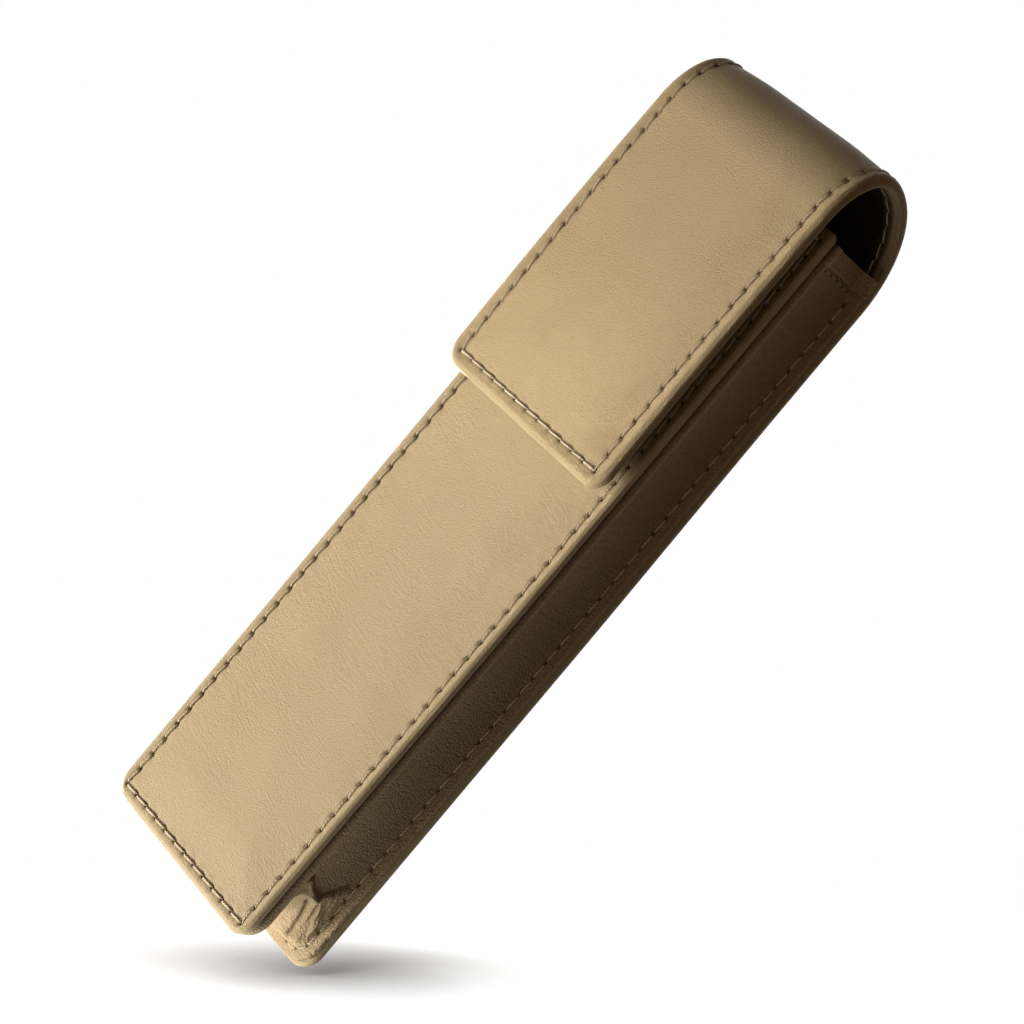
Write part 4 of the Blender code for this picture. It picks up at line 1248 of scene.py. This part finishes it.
def background_world(fill, colour):
    """An even dim light whose camera, glossy and transmission rays see plain white."""
    world = bpy.data.worlds.new("studio")
    bpy.context.scene.world = world
    world.use_nodes = True
    tree = world.node_tree
    tree.nodes.clear()
    seen = seen_white(tree, add_node(tree, "ShaderNodeLightPath").outputs)
    strength = maths(tree, "MULTIPLY_ADD", seen, 1.0 - fill, fill)
    tone = mixed(tree, seen, tuple(colour), WHITE)
    back = add_node(tree, "ShaderNodeBackground", Color=tone, Strength=strength).outputs[0]
    add_node(tree, "ShaderNodeOutputWorld", i0=back)


def floor_finish(lean):
    """Pale floor: white to the camera but for the case's soft shadow, fading out away from it.

    The shadow is the share of the sky that the case hides, looked at along a leaning way.
    """
    material, tree, shader = empty_material("pale_floor")
    place = add_node(tree, "ShaderNodeTexCoord").outputs["UV"]
    length = add_node(tree, "ShaderNodeVectorMath", {"operation": "LENGTH"}, i0=place).outputs["Value"]
    fade = ranged(tree, length, 0.5, 1.0, "SMOOTHSTEP")
    path = add_node(tree, "ShaderNodeLightPath").outputs
    way = add_node(tree, "ShaderNodeCombineXYZ", X=lean.x, Y=lean.y, Z=lean.z).outputs[0]
    sky = add_node(tree, "ShaderNodeAmbientOcclusion", {"samples": 16}, Distance=33.0 * MM, Normal=way)
    lit = ranged(tree, sky.outputs["AO"], 0.42, 0.93)
    set_inputs(
        tree, shader, Base_Color=(0.20, 0.20, 0.20, 1.0), Roughness=0.9, Specular_IOR_Level=0.0,
        Emission_Color=(*WHITE, 1.0), Emission_Strength=maths(tree, "MULTIPLY", seen_white(tree, path), lit),
    )
    clear = add_node(tree, "ShaderNodeBsdfTransparent").outputs[0]
    behind = add_node(tree, "ShaderNodeNewGeometry").outputs["Backfacing"]
    gone = maths(tree, "MAXIMUM", maths(tree, "MAXIMUM", fade, behind), path["Is Shadow Ray"])
    shown = add_node(tree, "ShaderNodeMixShader", i0=gone, i1=shader.outputs[0], i2=clear).outputs[0]
    set_inputs(tree, tree.nodes["Material Output"], i0=shown)
    return material


class PENCASE_OT_studio(bpy.types.Operator):
    """Studio: camera, lamps, white surroundings and a pale floor under the lowest corner"""

    bl_idname = "pencase.studio"
    bl_label = "Studio"

    def execute(self, context):
        studio, scene = context.scene.pen_case_studio, context.scene
        right, up, back, target = camera_axes(studio)
        camera = bpy.data.cameras.new("camera")
        camera.lens, camera.sensor_width = studio.lens, 36.0
        camera.clip_start, camera.clip_end = 0.01, 20.0
        scene.camera = linked("camera", camera)
        rotation = Matrix((right, up, back)).transposed().to_4x4()
        scene.camera.matrix_world = Matrix.Translation(target + back * studio.distance) @ rotation

        foot, flap_end = Vector((HALF, BACK_FACE, 0.0)), Vector((0.0, FLAP_FACE, FLAP_EDGE + 12.0 * MM))
        area_lamp("key_lamp", CASE_MIDDLE, studio.key_way, 0.36, studio.key)
        area_lamp("side_lamp", CASE_MIDDLE, (-0.45, -0.48, -0.24), 0.20, studio.side)
        area_lamp("bounce_lamp", foot, (0.012, -0.008, -0.068), 0.06, studio.bounce, (0.90, 0.96, 1.0))
        area_lamp("back_lamp", CASE_MIDDLE, (-0.42, 0.42, -0.30), 0.25, studio.behind)
        area_lamp("accent_lamp", flap_end, NARROW_LAMPS, 0.06, studio.accent, spread=12.0)
        area_lamp("flap_lamp", flap_end, NARROW_LAMPS, 0.025, studio.snoot, spread=5.0)
        background_world(studio.fill, studio.fill_colour)

        corner = Vector((HALF, BACK_FACE - 2 * MM, 0.0)) - 0.5 * MM * up
        normal = (math.cos(FLOOR_TILT) * up + math.sin(FLOOR_TILT) * back).normalized()
        depth = right.cross(normal).normalized()
        ways = [(-1, -1), (1, -1), (1, 1), (-1, 1)]
        corners = [tuple(corner + FLOOR_HALF * (a * right + b * depth)) for a, b in ways]
        mesh = bpy.data.meshes.new("floor")
        mesh.from_pydata(corners, [], [(0, 1, 2, 3)])
        layer = mesh.uv_layers.new(name="UVMap")
        layer.data.foreach_set("uv", np.array(ways, np.float32).ravel())
        if mesh.polygons[0].normal.dot(normal) < 0:
            mesh.flip_normals()
        mesh.materials.append(floor_finish((normal - SHADOW_LEFT * right + SHADOW_BACK * back).normalized()))
        floor = linked("floor", mesh)
        scene.view_settings.view_transform = "Standard"
        return {"FINISHED"}


OPERATORS = [
    PENCASE_OT_front_panel,
    PENCASE_OT_back_panel,
    PENCASE_OT_crown,
    PENCASE_OT_flap,
    PENCASE_OT_linings,
    PENCASE_OT_divider,
    PENCASE_OT_gusset,
    PENCASE_OT_solids,
    PENCASE_OT_studio,
]
GROUPS = {
    "pen_case_sizes": PenCaseSizes,
    "pen_case_colours": PenCaseColours,
    "pen_case_studio": PenCaseStudio,
}


class PENCASE_PT_panel(bpy.types.Panel):
    """Sizes, colours and the steps that build the case"""

    bl_idname = "PENCASE_PT_panel"
    bl_label = "Pen Case"
    bl_space_type = "VIEW_3D"
    bl_region_type = "UI"
    bl_category = "Pen Case"

    def draw(self, context):
        for group in GROUPS:
            settings = getattr(context.scene, group)
            column = self.layout.column()
            for label in settings.bl_rna.properties.keys():
                if label not in ("rna_type", "name"):
                    column.prop(settings, label)
        for operator in OPERATORS:
            self.layout.operator(operator.bl_idname)


CLASSES = [*GROUPS.values(), *OPERATORS, PENCASE_PT_panel]


def register():
    for item in CLASSES:
        bpy.utils.register_class(item)
    for label, group in GROUPS.items():
        setattr(bpy.types.Scene, label, bpy.props.PointerProperty(type=group))


def unregister():
    for label in GROUPS:
        delattr(bpy.types.Scene, label)
    for item in reversed(CLASSES):
        bpy.utils.unregister_class(item)


def main():
    register()
    for operator in OPERATORS:
        group, name = operator.bl_idname.split(".")
        getattr(getattr(bpy.ops, group), name)()


if __name__ == "__main__":
    main()
